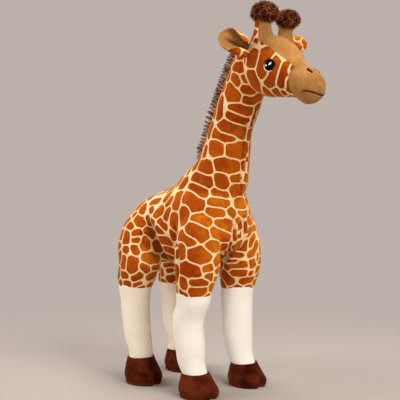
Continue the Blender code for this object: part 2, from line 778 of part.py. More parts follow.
def ear_layer(name, side, lining):
    """One layer of an ear: a cupped leaf that bends from its rounded root to its lift."""
    hinge, rise = ear_root(side)
    sign = SIDES[side]
    radius = EAR_LAYER + GAP / 2
    steps = np.concatenate([radius * np.array(EAR_ROOT_SHARES),
                            np.linspace(radius, EAR_LENGTH, EAR_STEPS)[1:]])
    bend = np.clip((steps - radius) / (EAR_LENGTH * EAR_BEND_SHARE), 0, 1)
    angle = rise + (math.radians(EAR_LIFT[side]) - rise) * bend
    sweep = math.radians(EAR_SWEEP[side])
    along = np.stack([0 * angle - math.sin(sweep), sign * math.cos(sweep) * np.cos(angle),
                      math.cos(sweep) * np.sin(angle)], 1)
    across = np.stack([0 * angle, -sign * np.sin(angle), np.cos(angle)], 1)
    front = np.cross(along, across) * sign
    path = np.cumsum(along * np.diff(steps, prepend=0)[:, None], axis=0) + hinge - along[0] * radius

    shares = np.array(EAR_WIDTH_SHARES)
    half = np.interp(steps / EAR_LENGTH, shares[:, 0], shares[:, 1]) * EAR_WIDTH / 2
    columns = np.linspace(-1, 1, EAR_COLUMNS)
    fill = np.sqrt(np.clip(1 - (1 - np.minimum(steps / radius, 1)) ** 2, 0, 1))
    rim = EAR_RIM_SHARE + (1 - EAR_RIM_SHARE) * (1 - columns ** 4)
    inner = GAP / 2 + 0 * fill[:, None] * columns
    outer = inner + np.maximum(radius * fill - GAP / 2, GAP / 2)[:, None] * rim
    cup = EAR_CUP * (steps / EAR_LENGTH)[:, None] * columns ** 2
    sheets = []
    for depth in (inner, outer):
        height = (depth if lining else -depth) + cup
        sheets.append(path[:, None] + (half[:, None] * columns)[:, :, None] * across[:, None]
                      + height[:, :, None] * front[:, None])
    return sheet_pair(name, sheets[0], sheets[1])


def sheet_pair(name, low, high):
    """A closed solid between two grids of points with the same outline."""
    rows, columns = low.shape[:2]
    size = rows * columns
    faces = []
    for i in range(rows - 1):
        for j in range(columns - 1):
            a = i * columns + j
            quad = (a, a + 1, a + columns + 1, a + columns)
            faces.append(quad)
            faces.append(tuple(k + size for k in quad[::-1]))
    edge = [j for j in range(columns)]
    edge += [i * columns + columns - 1 for i in range(1, rows)]
    edge += [(rows - 1) * columns + j for j in range(columns - 2, -1, -1)]
    edge += [i * columns for i in range(rows - 2, 0, -1)]
    for a, b in zip(edge, edge[1:] + edge[:1]):
        faces.append((b, a, a + size, b + size))
    return solid(name, np.vstack([low.reshape(-1, 3), high.reshape(-1, 3)]), faces)


def tail_hinge():
    """The tail's root, a round end that touches the rump."""
    point, normal = surface_point(torso_rings(), TAIL_ROW_SHARE, 0, 1)
    return point + normal * (1, 0, 1) * (TAIL_THICKNESS / 2 + GAP)


def tail_rings(outward):
    """Rings along the tail, the first of them rounding its root about the hinge."""
    root = tail_hinge()
    path = spline(TAIL_PATH_SHARES, TAIL_STEPS) * (-TAIL_LENGTH, -TAIL_LENGTH, -TAIL_LENGTH)
    radius = TAIL_THICKNESS / 2
    along = np.gradient(path, axis=0)
    along /= np.linalg.norm(along, axis=1)[:, None]
    start = [root - along[0] * radius * share for share in TAIL_ROOT_SHARES]
    sizes = [radius * math.sqrt(1 - share ** 2) for share in TAIL_ROOT_SHARES]
    centres = np.vstack([start, root + path])
    along = np.vstack([np.tile(along[0], (len(start), 1)), along])
    sizes = np.array(sizes + [radius] * len(path)) + outward
    side = np.cross(along, (0, 1, 0))
    side /= np.linalg.norm(side, axis=1)[:, None]
    other = np.cross(along, side)
    turn = circle(TAIL_SEGMENTS)
    return (centres[:, None] + sizes[:, None, None]
            * (side[:, None] * np.cos(turn)[:, None] + other[:, None] * np.sin(turn)[:, None]))


def tail_pieces():
    cord = loft("tail_cord", tail_rings(0))
    rings = tail_rings(0)
    end = rings[-1].mean(axis=0)
    along = end - rings[-2].mean(axis=0)
    along /= np.linalg.norm(along)
    start = end - along * TAIL_TUFT_LENGTH * TUFT_OVERLAP_SHARE
    shares = spline(TAIL_TUFT_SHARES, TUFT_RINGS)
    side = np.cross(along, (0, 1, 0))
    side /= np.linalg.norm(side)
    other = np.cross(along, side)
    turn = circle(TAIL_SEGMENTS)
    centres = start + along * (shares[:, 0] * TAIL_TUFT_LENGTH)[:, None]
    half = shares[:, 1] * TAIL_TUFT_WIDTH / 2
    rings = (centres[:, None] + half[:, None, None]
             * (side * np.cos(turn)[:, None] + other * np.sin(turn)[:, None]))
    tuft = loft("tail_tuft", rings)
    grown = tail_rings(GAP)
    grown[-1] += along * GAP
    cut(tuft, loft("grown", grown))
    return [cord, tuft]


# Materials

def plush(name, colour, roughness):
    material = bpy.data.materials.new(name)
    material.use_nodes = True
    shader = material.node_tree.nodes["Principled BSDF"]
    shader.inputs["Base Color"].default_value = (*colour, 1.0)
    shader.inputs["Roughness"].default_value = roughness
    shader.inputs["Metallic"].default_value = 0.0
    material.diffuse_color = (*colour, 1.0)
    return material


PATCHED = (0.46, 0.10, 0.012)
TAN = (0.60, 0.31, 0.11)
CREAM = (0.86, 0.78, 0.62)
HOOF_BROWN = (0.10, 0.018, 0.008)
FUR_BROWN = (0.07, 0.018, 0.010)
FIBRE = (0.90, 0.90, 0.88)
EYE_BLACK = (0.01, 0.008, 0.008)
PILE_ROUGHNESS = 0.9
EYE_ROUGHNESS = 0.35


def dress(obj, colour, roughness=PILE_ROUGHNESS):
    """Gives a finished piece its own material and smooth shading."""
    obj.data.materials.clear()
    obj.data.materials.append(plush(obj.name, colour, roughness))
    obj.data.shade_smooth()
    obj.data.set_sharp_from_angle(angle=math.radians(SHARP_ANGLE))
    return obj


def joint(name, place, pieces):
    """An empty on a joint's axis that carries the pieces that move there."""
    empty = bpy.data.objects.new(name, None)
    bpy.context.scene.collection.objects.link(empty)
    empty.location = Vector([float(c) for c in place])
    bpy.context.view_layer.update()
    for piece in pieces:
        piece.parent = empty
        piece.matrix_parent_inverse = empty.matrix_world.inverted()
    return empty


def build():
    """Builds every piece, dresses it and hangs it on its joint."""
    for obj in list(bpy.data.objects):
        bpy.data.objects.remove(obj)

    torso_cover, torso_filling = torso_pieces()
    neck_cover, neck_filling = neck_pieces()
    for piece in (torso_cover, neck_cover):
        dress(piece, PATCHED)
    for piece in (torso_filling, neck_filling):
        dress(piece, FIBRE)
    roots = [torso_cover, torso_filling, neck_cover, neck_filling, dress(mane_piece(), FUR_BROWN)]

    for leg in LEGS:
        colours = (PATCHED, CREAM, HOOF_BROWN, HOOF_BROWN, FIBRE)
        pieces = [dress(piece, colour) for piece, colour in zip(leg.pieces(), colours)]
        roots.append(joint(leg.name + "_hip", leg.hinge, pieces))

    head = head_pieces()
    dress(head["head_cover"], PATCHED)
    dress(head["blaze_panel"], TAN)
    dress(head["muzzle_cover"], TAN)
    dress(head["head_filling"], FIBRE)
    carried = list(head.values())
    for side in SIDES:
        cover, filling, tuft = horn_pieces(side)
        carried += [dress(cover, TAN), dress(filling, FIBRE), dress(tuft, FUR_BROWN)]
        carried.append(dress(eye_piece(side), EYE_BLACK, EYE_ROUGHNESS))
        layers = [dress(ear_layer(side + "_ear_outer", side, False), PATCHED),
                  dress(ear_layer(side + "_ear_lining", side, True), TAN)]
        carried.append(joint(side + "_ear_root", ear_root(side)[0], layers))
    roots.append(joint("head_nod", nod_axis(), carried))

    cord, tuft = tail_pieces()
    roots.append(joint("tail_root", tail_hinge(), [dress(cord, PATCHED), dress(tuft, FUR_BROWN)]))
    centre_on_origin(roots)


def centre_on_origin(roots):
    """Moves the whole giraffe so that the origin is under the middle of its length."""
    low, high = math.inf, -math.inf
    for obj in bpy.data.objects:
        if obj.type == "MESH":
            reach = [(obj.matrix_world @ v.co).x for v in obj.data.vertices]
            low, high = min(low, *reach), max(high, *reach)
    middle = (low + high) / 2
    for obj in roots:
        obj.location.x -= middle
    bpy.context.view_layer.update()
    for obj in bpy.data.objects:
        if obj.type == "EMPTY":
            print("joint", obj.name, [round(c, 5) for c in obj.matrix_world.translation])


build()
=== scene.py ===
"""Looks of the standing plush giraffe: patched plush, tan face, cream legs, fur mane and tufts.

The giraffe faces +X and stands on z = 0; the camera looks at its right side (-Y) and its chest.
Stuffed skins are lofted forms, fused into one surface, creased, and split where they bend.
"""
import json
import math

import bmesh
import bpy
import numpy as np
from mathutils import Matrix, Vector
from mathutils.bvhtree import BVHTree


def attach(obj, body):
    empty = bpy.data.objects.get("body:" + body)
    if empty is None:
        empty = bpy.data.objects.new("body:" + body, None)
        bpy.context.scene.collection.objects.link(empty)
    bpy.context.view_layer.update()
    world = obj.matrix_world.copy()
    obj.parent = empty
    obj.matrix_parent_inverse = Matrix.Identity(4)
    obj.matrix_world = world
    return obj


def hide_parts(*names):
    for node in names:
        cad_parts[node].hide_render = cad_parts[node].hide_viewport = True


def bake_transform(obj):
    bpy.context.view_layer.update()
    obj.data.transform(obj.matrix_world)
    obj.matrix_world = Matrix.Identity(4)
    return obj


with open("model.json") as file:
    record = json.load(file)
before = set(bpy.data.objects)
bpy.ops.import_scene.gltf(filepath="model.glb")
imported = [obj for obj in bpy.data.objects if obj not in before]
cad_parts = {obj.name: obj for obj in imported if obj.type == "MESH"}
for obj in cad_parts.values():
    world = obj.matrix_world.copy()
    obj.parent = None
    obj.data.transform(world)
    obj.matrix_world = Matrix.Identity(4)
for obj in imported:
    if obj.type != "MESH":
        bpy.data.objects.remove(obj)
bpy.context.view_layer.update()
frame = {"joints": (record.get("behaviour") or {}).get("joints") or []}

PLACES = {joint["name"]: np.array(joint["pos_m"]) for joint in frame["joints"]}
SIDES = {"right": -1, "left": 1}
MM = 0.001

# Driving sizes, in metres. They are the solids', but the horns' breadth, the tufts, the ears, the
# mane, the near front leg's set-back and the tops of one stocking and one hoof have values of
# their own here, which follow the photograph more closely
BODY_LENGTH = 0.1838
BODY_DEPTH = 0.1133
BODY_WIDTH = 0.1054
BELLY_HEIGHT = 0.1627
HIP_HEIGHT = 0.172
LEG_THICKNESS = 0.0395
LEG_TRACK = 0.087
STOCKING_TOP = {"front_right": 0.1295, "front_left": 0.1295, "hind_right": 0.1295, "hind_left": 0.1225}
REACH = {"front_right": 0.004, "front_left": 0.0125, "hind_right": 0.0151, "hind_left": 0.0046}
SET_BACK = {"front_right": -0.0074, "front_left": 0.0, "hind_right": 0.0, "hind_left": -0.0105}
HIP_SHARE = {"front": 0.8136, "hind": 0.190}
HOOF_LENGTH = 0.0553
HOOF_WIDTH = 0.0474
HOOF_HEIGHT = {"front_right": 0.0303, "front_left": 0.0303, "hind_right": 0.0360, "hind_left": 0.0303}
NECK_LEAN = 0.0975
NECK_RISE = 0.2042
NECK_THICKNESS = 0.0527
HEAD_LENGTH = 0.1054
HEAD_DEPTH = 0.0751
HEAD_WIDTH = 0.0685
HORN_HEIGHT = {"right": 0.0425, "left": 0.0385}
HORN_THICKNESS = {"right": 0.0203, "left": 0.0178}
TUFT_WIDTH = {"right": 0.0328, "left": 0.0306}
TUFT_HEIGHT = {"right": 0.0250, "left": 0.0222}
EAR_LENGTH = {"right": 0.0412, "left": 0.0412}
EAR_WIDTH = {"right": 0.0480, "left": 0.0420}
EAR_LAYER = 0.0013
TAIL_LENGTH = 0.088
TAIL_THICKNESS = 0.0088
TAIL_TUFT_LENGTH = 0.03
MANE_HEIGHT = 0.0124
MANE_THICKNESS = 0.0105

# The rump's end, from which the body's length is counted
RUMP_TO_HIP = 0.14983
RUMP_X = PLACES["front_right_hip"][0] - RUMP_TO_HIP

# Places as shares: the nod along NECK_LEAN and up NECK_RISE, the nape beyond it in HEAD_LENGTH
# and HEAD_DEPTH, and the horns along HEAD_LENGTH, aside by half HEAD_WIDTH, and up HEAD_DEPTH
NOD_SHARES = (0.919, 0.910)
NAPE_SHARES = (0.025, 0.246)
HORN_PLACE_SHARES = (0.3125, 0.615, 0.053)

# Hem of an upper leg: how far above it the next two rings lie, and the draw-in of the lowest two.
# A stocking runs up under the hem and down into the hoof, and lies a little inside the leg's form
HEM_RISE = (1.0 * MM, 2.5 * MM)
HEM_TUCK = (0.5 * MM, 2.0 * MM)
STOCKING_OVERLAP = 5.0 * MM
HOOF_OVERLAP = 2.0 * MM
STOCKING_EASE = 0.4 * MM

# Where the skin is split: how far a leg's share of it reaches along the body, the height of the bend
# under the hip, its run ahead, aside and up, the lowest point of the neck's top, and the stretch
# of the neck below and above the nod
LEG_REGION = 0.048
BEND_DROP = 9.0 * MM
BEND_RUN = (5.7 * MM, 9.2 * MM, -32.1 * MM)
NECK_TOP_FLOOR = 0.36
NECK_STRETCH = (-30.0 * MM, 4.0 * MM)

# Lumps that uneven stuffing makes: their size and their height
BODY_LUMPS = [(28 * MM, 0.7 * MM), (11 * MM, 0.3 * MM)]
HEAD_LUMPS = [(22 * MM, 0.4 * MM)]
STOCKING_LUMPS = [(24 * MM, 0.5 * MM), (9 * MM, 0.18 * MM)]
HOOF_LUMPS = [(18 * MM, 0.7 * MM)]

# Spacing of the patches that are made by rule: on the body, more on the neck, less at the rump
BODY_SPACING = 18 * MM
NECK_SPACING_MORE = 4 * MM
RUMP_SPACING_LESS = 3 * MM
EAR_SPACING = 15 * MM
TAIL_SPACING = 11 * MM

# Which way patches lie on the neck and below it, and where they change over: height and run;
# where the rump's closer pattern starts, and its run
NECK_LIE = (0.2, 1.0, 0)
BODY_LIE = (0.3, 0, 1.0)
NECK_FOOT = 0.25
NECK_FOOT_RUN = 0.05
RUMP_START = -0.09
RUMP_RUN = 0.04

# A fold's shade at no depth and at most, its reach in its widths at no depth, and the depths
# over which shade and reach grow by 1
FOLD_LEAST = 0.12
FOLD_MOST = 0.95
FOLD_REACH = 0.90
FOLD_SHADE_DEPTH = 11 * MM
FOLD_REACH_DEPTH = 19 * MM

# The visible side of the toy and its mirror image
MIRRORS = ((1, 1, 1), (1, -1, 1))

# The photograph's camera
VIEW_TURN = math.radians(43.0)
VIEW_DIP = math.atan2(49.0, 860.0)
VIEW_BACK = 1.1631
VIEW_ASIDE = 0.0104
VIEW_HEIGHT = 0.3169
VIEW_BEHIND_HIP = 0.0484
VIEW_CENTRE_X = PLACES["front_right_hip"][0] - VIEW_BEHIND_HIP
FRAME_PX = 400.0
FOCAL_PX = 860.0
SENSOR = 36.0

# Rows of the torso: along BODY_LENGTH, up BODY_DEPTH, half depth and half width as shares
TORSO_SHARES = [
    (0.000, 0.349, 0.093, 0.100),
    (0.018, 0.360, 0.395, 0.450),
    (0.072, 0.372, 0.605, 0.750),
    (0.179, 0.395, 0.790, 0.950),
    (0.337, 0.436, 0.895, 1.000),
    (0.516, 0.500, 0.953, 1.000),
    (0.695, 0.593, 1.000, 0.975),
    (0.839, 0.663, 0.965, 0.875),
    (0.939, 0.721, 0.733, 0.675),
    (1.000, 0.744, 0.280, 0.250),
]

# Rows of the neck: along NECK_LEAN, up NECK_RISE, half depth and half width as shares
NECK_SHARES = [
    (0.000, 0.000, 1.880, 1.740),
    (0.216, 0.142, 1.760, 1.565),
    (0.402, 0.258, 1.505, 1.395),
    (0.497, 0.374, 1.265, 1.195),
    (0.554, 0.484, 1.130, 1.115),
    (0.614, 0.594, 1.040, 1.040),
    (0.711, 0.690, 1.030, 1.015),
    (0.800, 0.781, 1.015, 0.990),
    (0.884, 0.871, 0.990, 0.970),
    (0.959, 0.955, 0.965, 0.950),
    (1.060, 1.060, 0.860, 0.840),
]

# Rows of the head: along HEAD_LENGTH, rise as a share of it, half depth and half width
HEAD_SHARES = [
    (0.000, 0.000, 0.175, 0.230),
    (0.050, 0.000, 0.600, 0.615),
    (0.150, -0.031, 0.860, 0.885),
    (0.300, -0.100, 1.000, 1.000),
    (0.462, -0.177, 0.925, 0.955),
    (0.600, -0.250, 0.722, 0.790),
    (0.700, -0.300, 0.566, 0.650),
    (0.788, -0.344, 0.553, 0.640),
    (0.875, -0.388, 0.540, 0.635),
    (0.952, -0.420, 0.425, 0.508),
    (1.000, -0.437, 0.175, 0.230),
]

# Rows of a leg: height as a share of HIP_HEIGHT, bend of LEG_THICKNESS, shares of the hoof's
# reach and of the set-back, side place of half of LEG_TRACK, half depth and half width
LEG_SHARES = {
    "front": [
        (1.360, -0.017, 0.00, 0.0, 0.790, 1.180, 0.860),
        (1.268, -0.017, 0.00, 0.0, 0.855, 1.390, 1.160),
        (1.115, 0.000, 0.00, 0.0, 0.932, 1.540, 1.310),
        (0.946, 0.000, 0.00, 0.0, 0.962, 1.500, 1.425),
        (0.870, -0.040, 0.00, 0.0, 0.982, 1.360, 1.310),
        (0.793, -0.095, 0.00, 0.0, 1.000, 1.190, 1.185),
        (0.701, -0.140, 0.00, 0.0, 1.000, 1.130, 1.130),
        (0.579, -0.190, 0.20, 0.9, 1.010, 1.070, 1.080),
        (0.387, -0.213, 0.40, 0.5, 1.010, 0.995, 1.030),
        (0.211, -0.203, 0.85, 0.15, 1.000, 0.890, 0.895),
        (0.180, -0.183, 1.00, 0.0, 1.000, 0.867, 0.867),
    ],
    "hind": [
        (1.345, 0.017, 0.0, 0.0, 0.730, 0.800, 0.670),
        (1.253, 0.033, 0.0, 0.0, 0.820, 1.133, 1.133),
        (1.100, 0.017, 0.0, 0.0, 0.940, 1.367, 1.300),
        (0.946, 0.170, 0.0, 0.5, 0.980, 1.560, 1.330),
        (0.850, 0.100, 0.0, 0.8, 0.990, 1.400, 1.230),
        (0.762, -0.010, 0.0, 1.0, 1.000, 1.210, 1.147),
        (0.686, -0.017, 0.0, 1.0, 1.000, 1.067, 1.067),
        (0.563, -0.063, 0.2, 0.8, 1.000, 1.000, 1.013),
        (0.364, -0.155, 0.7, 0.3, 1.000, 0.947, 0.960),
        (0.211, -0.133, 1.0, 0.0, 1.000, 0.840, 0.840),
        (0.180, -0.183, 1.0, 0.0, 1.000, 0.853, 0.853),
    ],
}

# Rows of a hoof: height as a share of HOOF_HEIGHT, shift, half length and half width
HOOF_SHARES = [
    (1.000, -0.085, 0.640, 0.770),
    (0.900, -0.078, 0.705, 0.800),
    (0.760, -0.060, 0.795, 0.850),
    (0.560, -0.035, 0.900, 0.920),
    (0.380, -0.012, 0.985, 0.985),
    (0.250, -0.002, 0.990, 0.990),
    (0.165, 0.000, 0.945, 0.955),
    (0.110, 0.000, 0.938, 0.945),
    (0.075, 0.000, 0.885, 0.895),
]

# Rows of a horn: height, forward and outward lean, half depth and half width
HORN_SHARES = [
    (-0.10, 0.040, -0.100, 2.000, 1.250),
    (0.12, 0.055, -0.070, 1.980, 1.300),
    (0.34, 0.075, -0.020, 1.780, 1.300),
    (0.50, 0.080, 0.020, 1.300, 1.150),
    (0.66, 0.084, 0.040, 1.060, 1.020),
    (0.84, 0.090, 0.046, 1.000, 0.990),
    (1.00, 0.094, 0.048, 0.990, 0.980),
]

# Rows of an ear: along it, half of its breadth as a share, turn of its edge, depth of its fold
EAR_SHARES = [
    (0.00, 0.66, 145.0, 0.5),
    (0.12, 0.88, 158.0, 0.9),
    (0.30, 1.00, 160.0, 1.0),
    (0.48, 1.03, 148.0, 1.0),
    (0.64, 0.97, 118.0, 0.7),
    (0.78, 0.80, 75.0, 0.3),
    (0.90, 0.62, 38.0, 0.0),
    (1.00, 0.50, 15.0, 0.0),
]
# Way an ear points and way its hollow faces
EAR_WAYS = {
    "right": ((-0.145, -0.940, 0.310), (1.0, -0.30, 0.10)),
    "left": ((0.360, 0.860, 0.370), (-0.80, 0.35, 0.40)),
}

# Patches read off the photograph: both ends of a patch's middle line and half its thickness,
# in pixels of the photograph
CHEEK_PATCHES_PX = [
    (252.6, 56.0, 251.2, 61.6, 5.2), (266.6, 53.5, 262.6, 71.5, 5.2), (276.6, 61.5, 270.3, 83.6, 4.6),
    (286.0, 64.2, 281.0, 83.5, 4.0), (292.2, 66.6, 290.0, 69.6, 2.0), (287.4, 80.8, 289.0, 91.0, 2.4),
    (283.0, 92.4, 286.0, 94.8, 1.8), (275.4, 90.0, 279.6, 95.6, 2.8), (264.6, 90.0, 270.6, 95.6, 3.0),
    (251.4, 75.6, 257.0, 88.0, 5.0), (254.8, 39.8, 257.6, 41.6, 1.5), (259.6, 42.2, 262.6, 43.6, 0.7),
    (281.6, 57.6, 284.8, 59.8, 1.0), (257.0, 21.0, 256.4, 25.4, 2.4), (254.6, 31.5, 252.4, 37.0, 2.6),
]
NECK_PATCHES_PX = [
    (235.7, 68.6, 242.1, 67.8, 4.2), (233.7, 76.5, 236.9, 82.5, 4.4), (243.7, 77.5, 245.7, 81.7, 2.8),
    (244.5, 87.7, 250.9, 91.7, 4.0), (230.1, 89.0, 234.1, 96.8, 6.0), (246.9, 99.8, 259.6, 98.3, 3.8),
    (220.8, 100.0, 219.0, 116.0, 3.6), (234.0, 107.2, 248.0, 112.2, 4.4),
    (230.8, 115.8, 245.2, 121.2, 4.0), (258.6, 105.8, 250.4, 126.0, 3.4),
    (224.0, 126.5, 243.5, 132.5, 6.0),
    (215.2, 133.5, 232.0, 139.8, 4.0), (215.0, 147.3, 217.5, 149.2, 6.4),
    (233.5, 149.2, 242.5, 150.8, 7.6), (205.8, 148.0, 204.2, 155.5, 2.2),
    (202.3, 165.0, 208.0, 168.0, 5.2), (220.5, 164.5, 233.0, 166.5, 6.0),
    (244.3, 162.5, 244.6, 168.0, 2.2), (248.4, 154.0, 247.8, 160.0, 1.4),
    (191.5, 167.5, 188.0, 173.0, 1.8), (195.5, 178.5, 208.5, 182.0, 4.6),
    (220.0, 179.5, 222.2, 183.5, 5.6), (234.5, 178.3, 243.5, 178.6, 3.3),
    (235.5, 190.0, 242.5, 190.0, 5.6), (185.3, 180.8, 181.8, 186.0, 3.4),
    (193.5, 187.2, 202.0, 192.8, 5.0), (215.5, 191.8, 225.5, 195.6, 3.0),
    (213.0, 203.0, 224.5, 202.6, 4.2), (238.5, 203.4, 242.5, 204.6, 4.8),
    (189.0, 197.5, 196.8, 205.0, 7.2), (211.2, 211.2, 219.5, 213.2, 4.4),
    (231.0, 211.3, 234.2, 214.8, 2.8), (196.8, 217.0, 206.5, 221.6, 5.0),
    (219.5, 223.2, 229.5, 226.2, 4.4),
]
BODY_PATCHES_PX = [
    (179.2, 194.5, 175.8, 205.8, 3.8), (169.8, 193.5, 165.8, 199.0, 3.2),
    (171.0, 199.2, 167.0, 205.0, 2.6), (152.5, 202.4, 158.0, 200.8, 3.0),
    (158.0, 194.8, 166.0, 191.6, 1.2), (142.5, 207.2, 142.5, 210.4, 4.2),
    (151.3, 208.2, 151.6, 211.2, 2.2), (156.8, 215.0, 161.3, 210.0, 4.0),
    (168.2, 210.2, 165.5, 218.0, 2.6), (174.0, 217.2, 175.5, 226.8, 4.0),
    (184.6, 210.5, 184.0, 220.5, 4.4), (136.0, 212.2, 132.6, 217.0, 1.8),
    (137.2, 219.4, 143.0, 224.0, 4.2), (148.0, 219.2, 149.4, 224.2, 3.0),
    (129.8, 224.6, 130.0, 226.6, 3.4), (159.5, 221.6, 164.0, 227.0, 3.4),
    (157.2, 227.2, 161.6, 232.0, 2.8), (126.0, 234.0, 126.0, 240.2, 3.8),
    (134.8, 233.6, 140.0, 232.2, 2.8), (146.8, 229.0, 151.0, 234.4, 4.0),
    (171.4, 231.6, 173.6, 238.0, 2.2), (181.2, 235.4, 192.0, 243.0, 4.2),
    (191.0, 229.3, 202.0, 234.6, 6.6), (214.6, 231.6, 224.4, 237.4, 4.6),
    (161.8, 239.2, 168.4, 242.2, 3.6), (134.5, 240.2, 137.2, 239.6, 2.6),
    (145.4, 240.0, 145.0, 246.0, 4.0), (156.4, 243.2, 158.6, 250.0, 3.0),
    (167.0, 249.0, 174.4, 252.4, 3.0), (181.4, 247.2, 181.6, 255.4, 3.8),
    (195.2, 254.2, 202.0, 256.0, 7.4), (210.0, 246.2, 217.8, 246.4, 4.2),
    (219.6, 258.0, 217.8, 262.8, 4.6), (125.5, 249.0, 125.6, 249.8, 3.0),
    (134.0, 247.4, 136.2, 252.0, 2.6), (123.4, 258.0, 122.8, 266.0, 2.8),
    (132.6, 262.0, 131.8, 268.2, 5.0), (147.6, 258.2, 156.4, 259.0, 4.6),
    (163.6, 255.4, 170.6, 261.0, 1.8), (143.8, 266.2, 147.0, 270.0, 2.8),
    (154.6, 267.6, 158.0, 267.0, 2.4), (184.8, 268.4, 194.0, 271.8, 5.8),
    (206.2, 268.6, 210.0, 268.6, 3.2), (209.2, 276.2, 212.4, 277.2, 3.4),
    (182.6, 281.2, 183.4, 286.2, 3.6), (194.0, 282.2, 205.0, 283.4, 3.2),
    (192.4, 292.4, 204.0, 290.6, 3.8), (180.4, 291.4, 186.0, 295.2, 1.6),
    (122.6, 274.2, 125.4, 276.2, 2.8), (134.2, 278.4, 139.8, 275.6, 2.6),
    (126.2, 283.2, 128.4, 284.6, 3.0), (134.2, 285.6, 140.0, 283.4, 1.6),
    (149.4, 286.0, 150.6, 286.0, 3.0), (150.0, 277.0, 154.0, 274.8, 3.2),
]
CHEST_PATCHES_PX = [
    (240.0, 213.6, 246.0, 213.6, 2.8), (238.4, 218.0, 239.4, 228.4, 2.2),
    (248.2, 204.4, 248.6, 208.0, 1.6), (235.0, 231.4, 235.3, 239.0, 1.4),
    (240.6, 232.2, 239.0, 237.0, 1.8), (248.6, 220.2, 252.0, 223.8, 3.0),
    (246.4, 223.4, 246.0, 231.2, 1.6), (253.4, 233.4, 250.6, 245.6, 2.4),
    (234.2, 248.0, 241.0, 243.0, 3.4), (229.2, 244.8, 227.4, 253.0, 2.4),
    (256.4, 243.8, 250.6, 255.2, 2.6), (232.0, 255.0, 241.0, 254.2, 2.4),
    (228.6, 261.6, 235.0, 261.2, 1.6), (227.2, 267.0, 244.4, 265.2, 3.0),
    (252.2, 262.0, 253.0, 265.6, 3.0), (224.0, 274.4, 229.2, 280.6, 4.2),
    (233.4, 271.8, 243.6, 272.4, 3.4), (250.6, 273.4, 255.0, 270.2, 2.0),
    (243.6, 281.8, 251.0, 280.0, 3.4), (257.6, 254.0, 257.6, 260.0, 1.0),
    (164.4, 265.4, 173.6, 264.6, 1.6),
    (161.6, 271.0, 162.0, 273.4, 2.6), (168.0, 270.6, 171.6, 269.8, 1.8),
    (169.2, 279.4, 173.8, 278.2, 3.2), (161.4, 280.6, 166.0, 283.0, 2.2),
    (177.4, 251.0, 177.2, 257.0, 1.2),
]

# Creases and seams read off the photograph: depth and width, then the line in pixels
CREASES_PX = [
    (3.8 * MM, 3.2 * MM, [(174, 220), (176, 236), (177.5, 250), (178, 264), (177.5, 284)]),
    (9.5 * MM, 6.5 * MM, [(144, 219), (149.5, 228), (153.5, 238), (157.5, 248), (162.5, 256), (169, 263)]),
    (4.4 * MM, 2.8 * MM, [(235.5, 214), (234, 230), (232, 242), (228, 254), (222, 266)]),
    (2.6 * MM, 2.2 * MM, [(237.5, 222), (241, 233), (236, 243)]),
    (2.4 * MM, 2.0 * MM, [(243.5, 217), (244.6, 228), (245, 240)]),
    (1.8 * MM, 2.0 * MM, [(162, 251), (168, 258), (175, 262.5)]),
    (1.6 * MM, 1.8 * MM, [(166, 249), (171, 255), (177, 260)]),
    (1.6 * MM, 2.6 * MM, [(226, 262), (234, 263.5), (243, 261)]),
    (1.4 * MM, 2.4 * MM, [(228, 247), (234, 250), (242, 248)]),
    (1.6 * MM, 3.0 * MM, [(139, 232), (146, 236), (153, 234)]),
    (3.0 * MM, 1.5 * MM, [(253.5, 106), (249.5, 117), (246.5, 128), (244.5, 140), (243, 152),
                          (241.7, 163), (240.9, 180), (240, 196), (239, 208)]),
]

# Seams of the head, in pixels: the muzzle's rear edge, and the tan panel from horn to muzzle
MUZZLE_SEAM_PX = [(304.8, 63.0), (299.5, 63.8), (294.6, 66.2), (290.4, 71.3), (288.0, 79.6),
                  (288.8, 87.0), (291.8, 92.9), (295.0, 97.0), (298.5, 102.0)]
MUZZLE_CORNERS_PX = [(304, 112), (345, 112), (345, 52)]
BLAZE_SEAM_PX = [(258.4, -12.0), (258.1, 19.9), (257.7, 26.5), (256.2, 34.0), (256.0, 38.6),
                 (263.0, 43.1), (268.0, 46.4), (273.8, 50.6), (279.6, 54.7), (284.6, 58.5),
                 (289.6, 62.2), (294.6, 66.2), (299.5, 63.8), (304.8, 63.0)]
BLAZE_CORNERS_PX = [(345, 52), (345, -12)]


# Curves, rings and noise

def spline_at(rows, place):
    """Catmull-Rom curve through the rows, at places counted in rows."""
    rows = np.asarray(rows, float)
    place = np.atleast_1d(place)
    first = np.clip(place.astype(int), 0, len(rows) - 2)
    part = (place - first)[:, None]
    padded = np.vstack([2 * rows[0] - rows[1], rows, 2 * rows[-1] - rows[-2]])
    a, b, c, d = (padded[first + k] for k in range(4))
    return 0.5 * (2 * b + (c - a) * part + (2 * a - 5 * b + 4 * c - d) * part ** 2
                  + (3 * b - a - 3 * c + d) * part ** 3)


def spline(rows, count):
    """The same curve at evenly spaced places from its first row to its last."""
    return spline_at(rows, np.linspace(0, len(rows) - 1, count))


def by_height(rows, heights):
    """Cubic Hermite curve through the rows at given heights, which are their first column."""
    rows = np.asarray(rows, float)[::-1]
    z = rows[:, 0]
    slopes = np.gradient(rows, z, axis=0)
    k = np.clip(np.searchsorted(z, heights, side="right") - 1, 0, len(z) - 2)
    step = (z[k + 1] - z[k])[:, None]
    t = ((heights - z[k]) / step[:, 0])[:, None]
    return ((1 + 2 * t) * (1 - t) ** 2 * rows[k] + t * (1 - t) ** 2 * step * slopes[k]
            + t ** 2 * (3 - 2 * t) * rows[k + 1] + t ** 2 * (t - 1) * step * slopes[k + 1])


def unit(vectors):
    """Vectors divided by their lengths."""
    return vectors / np.linalg.norm(vectors, axis=-1, keepdims=True)


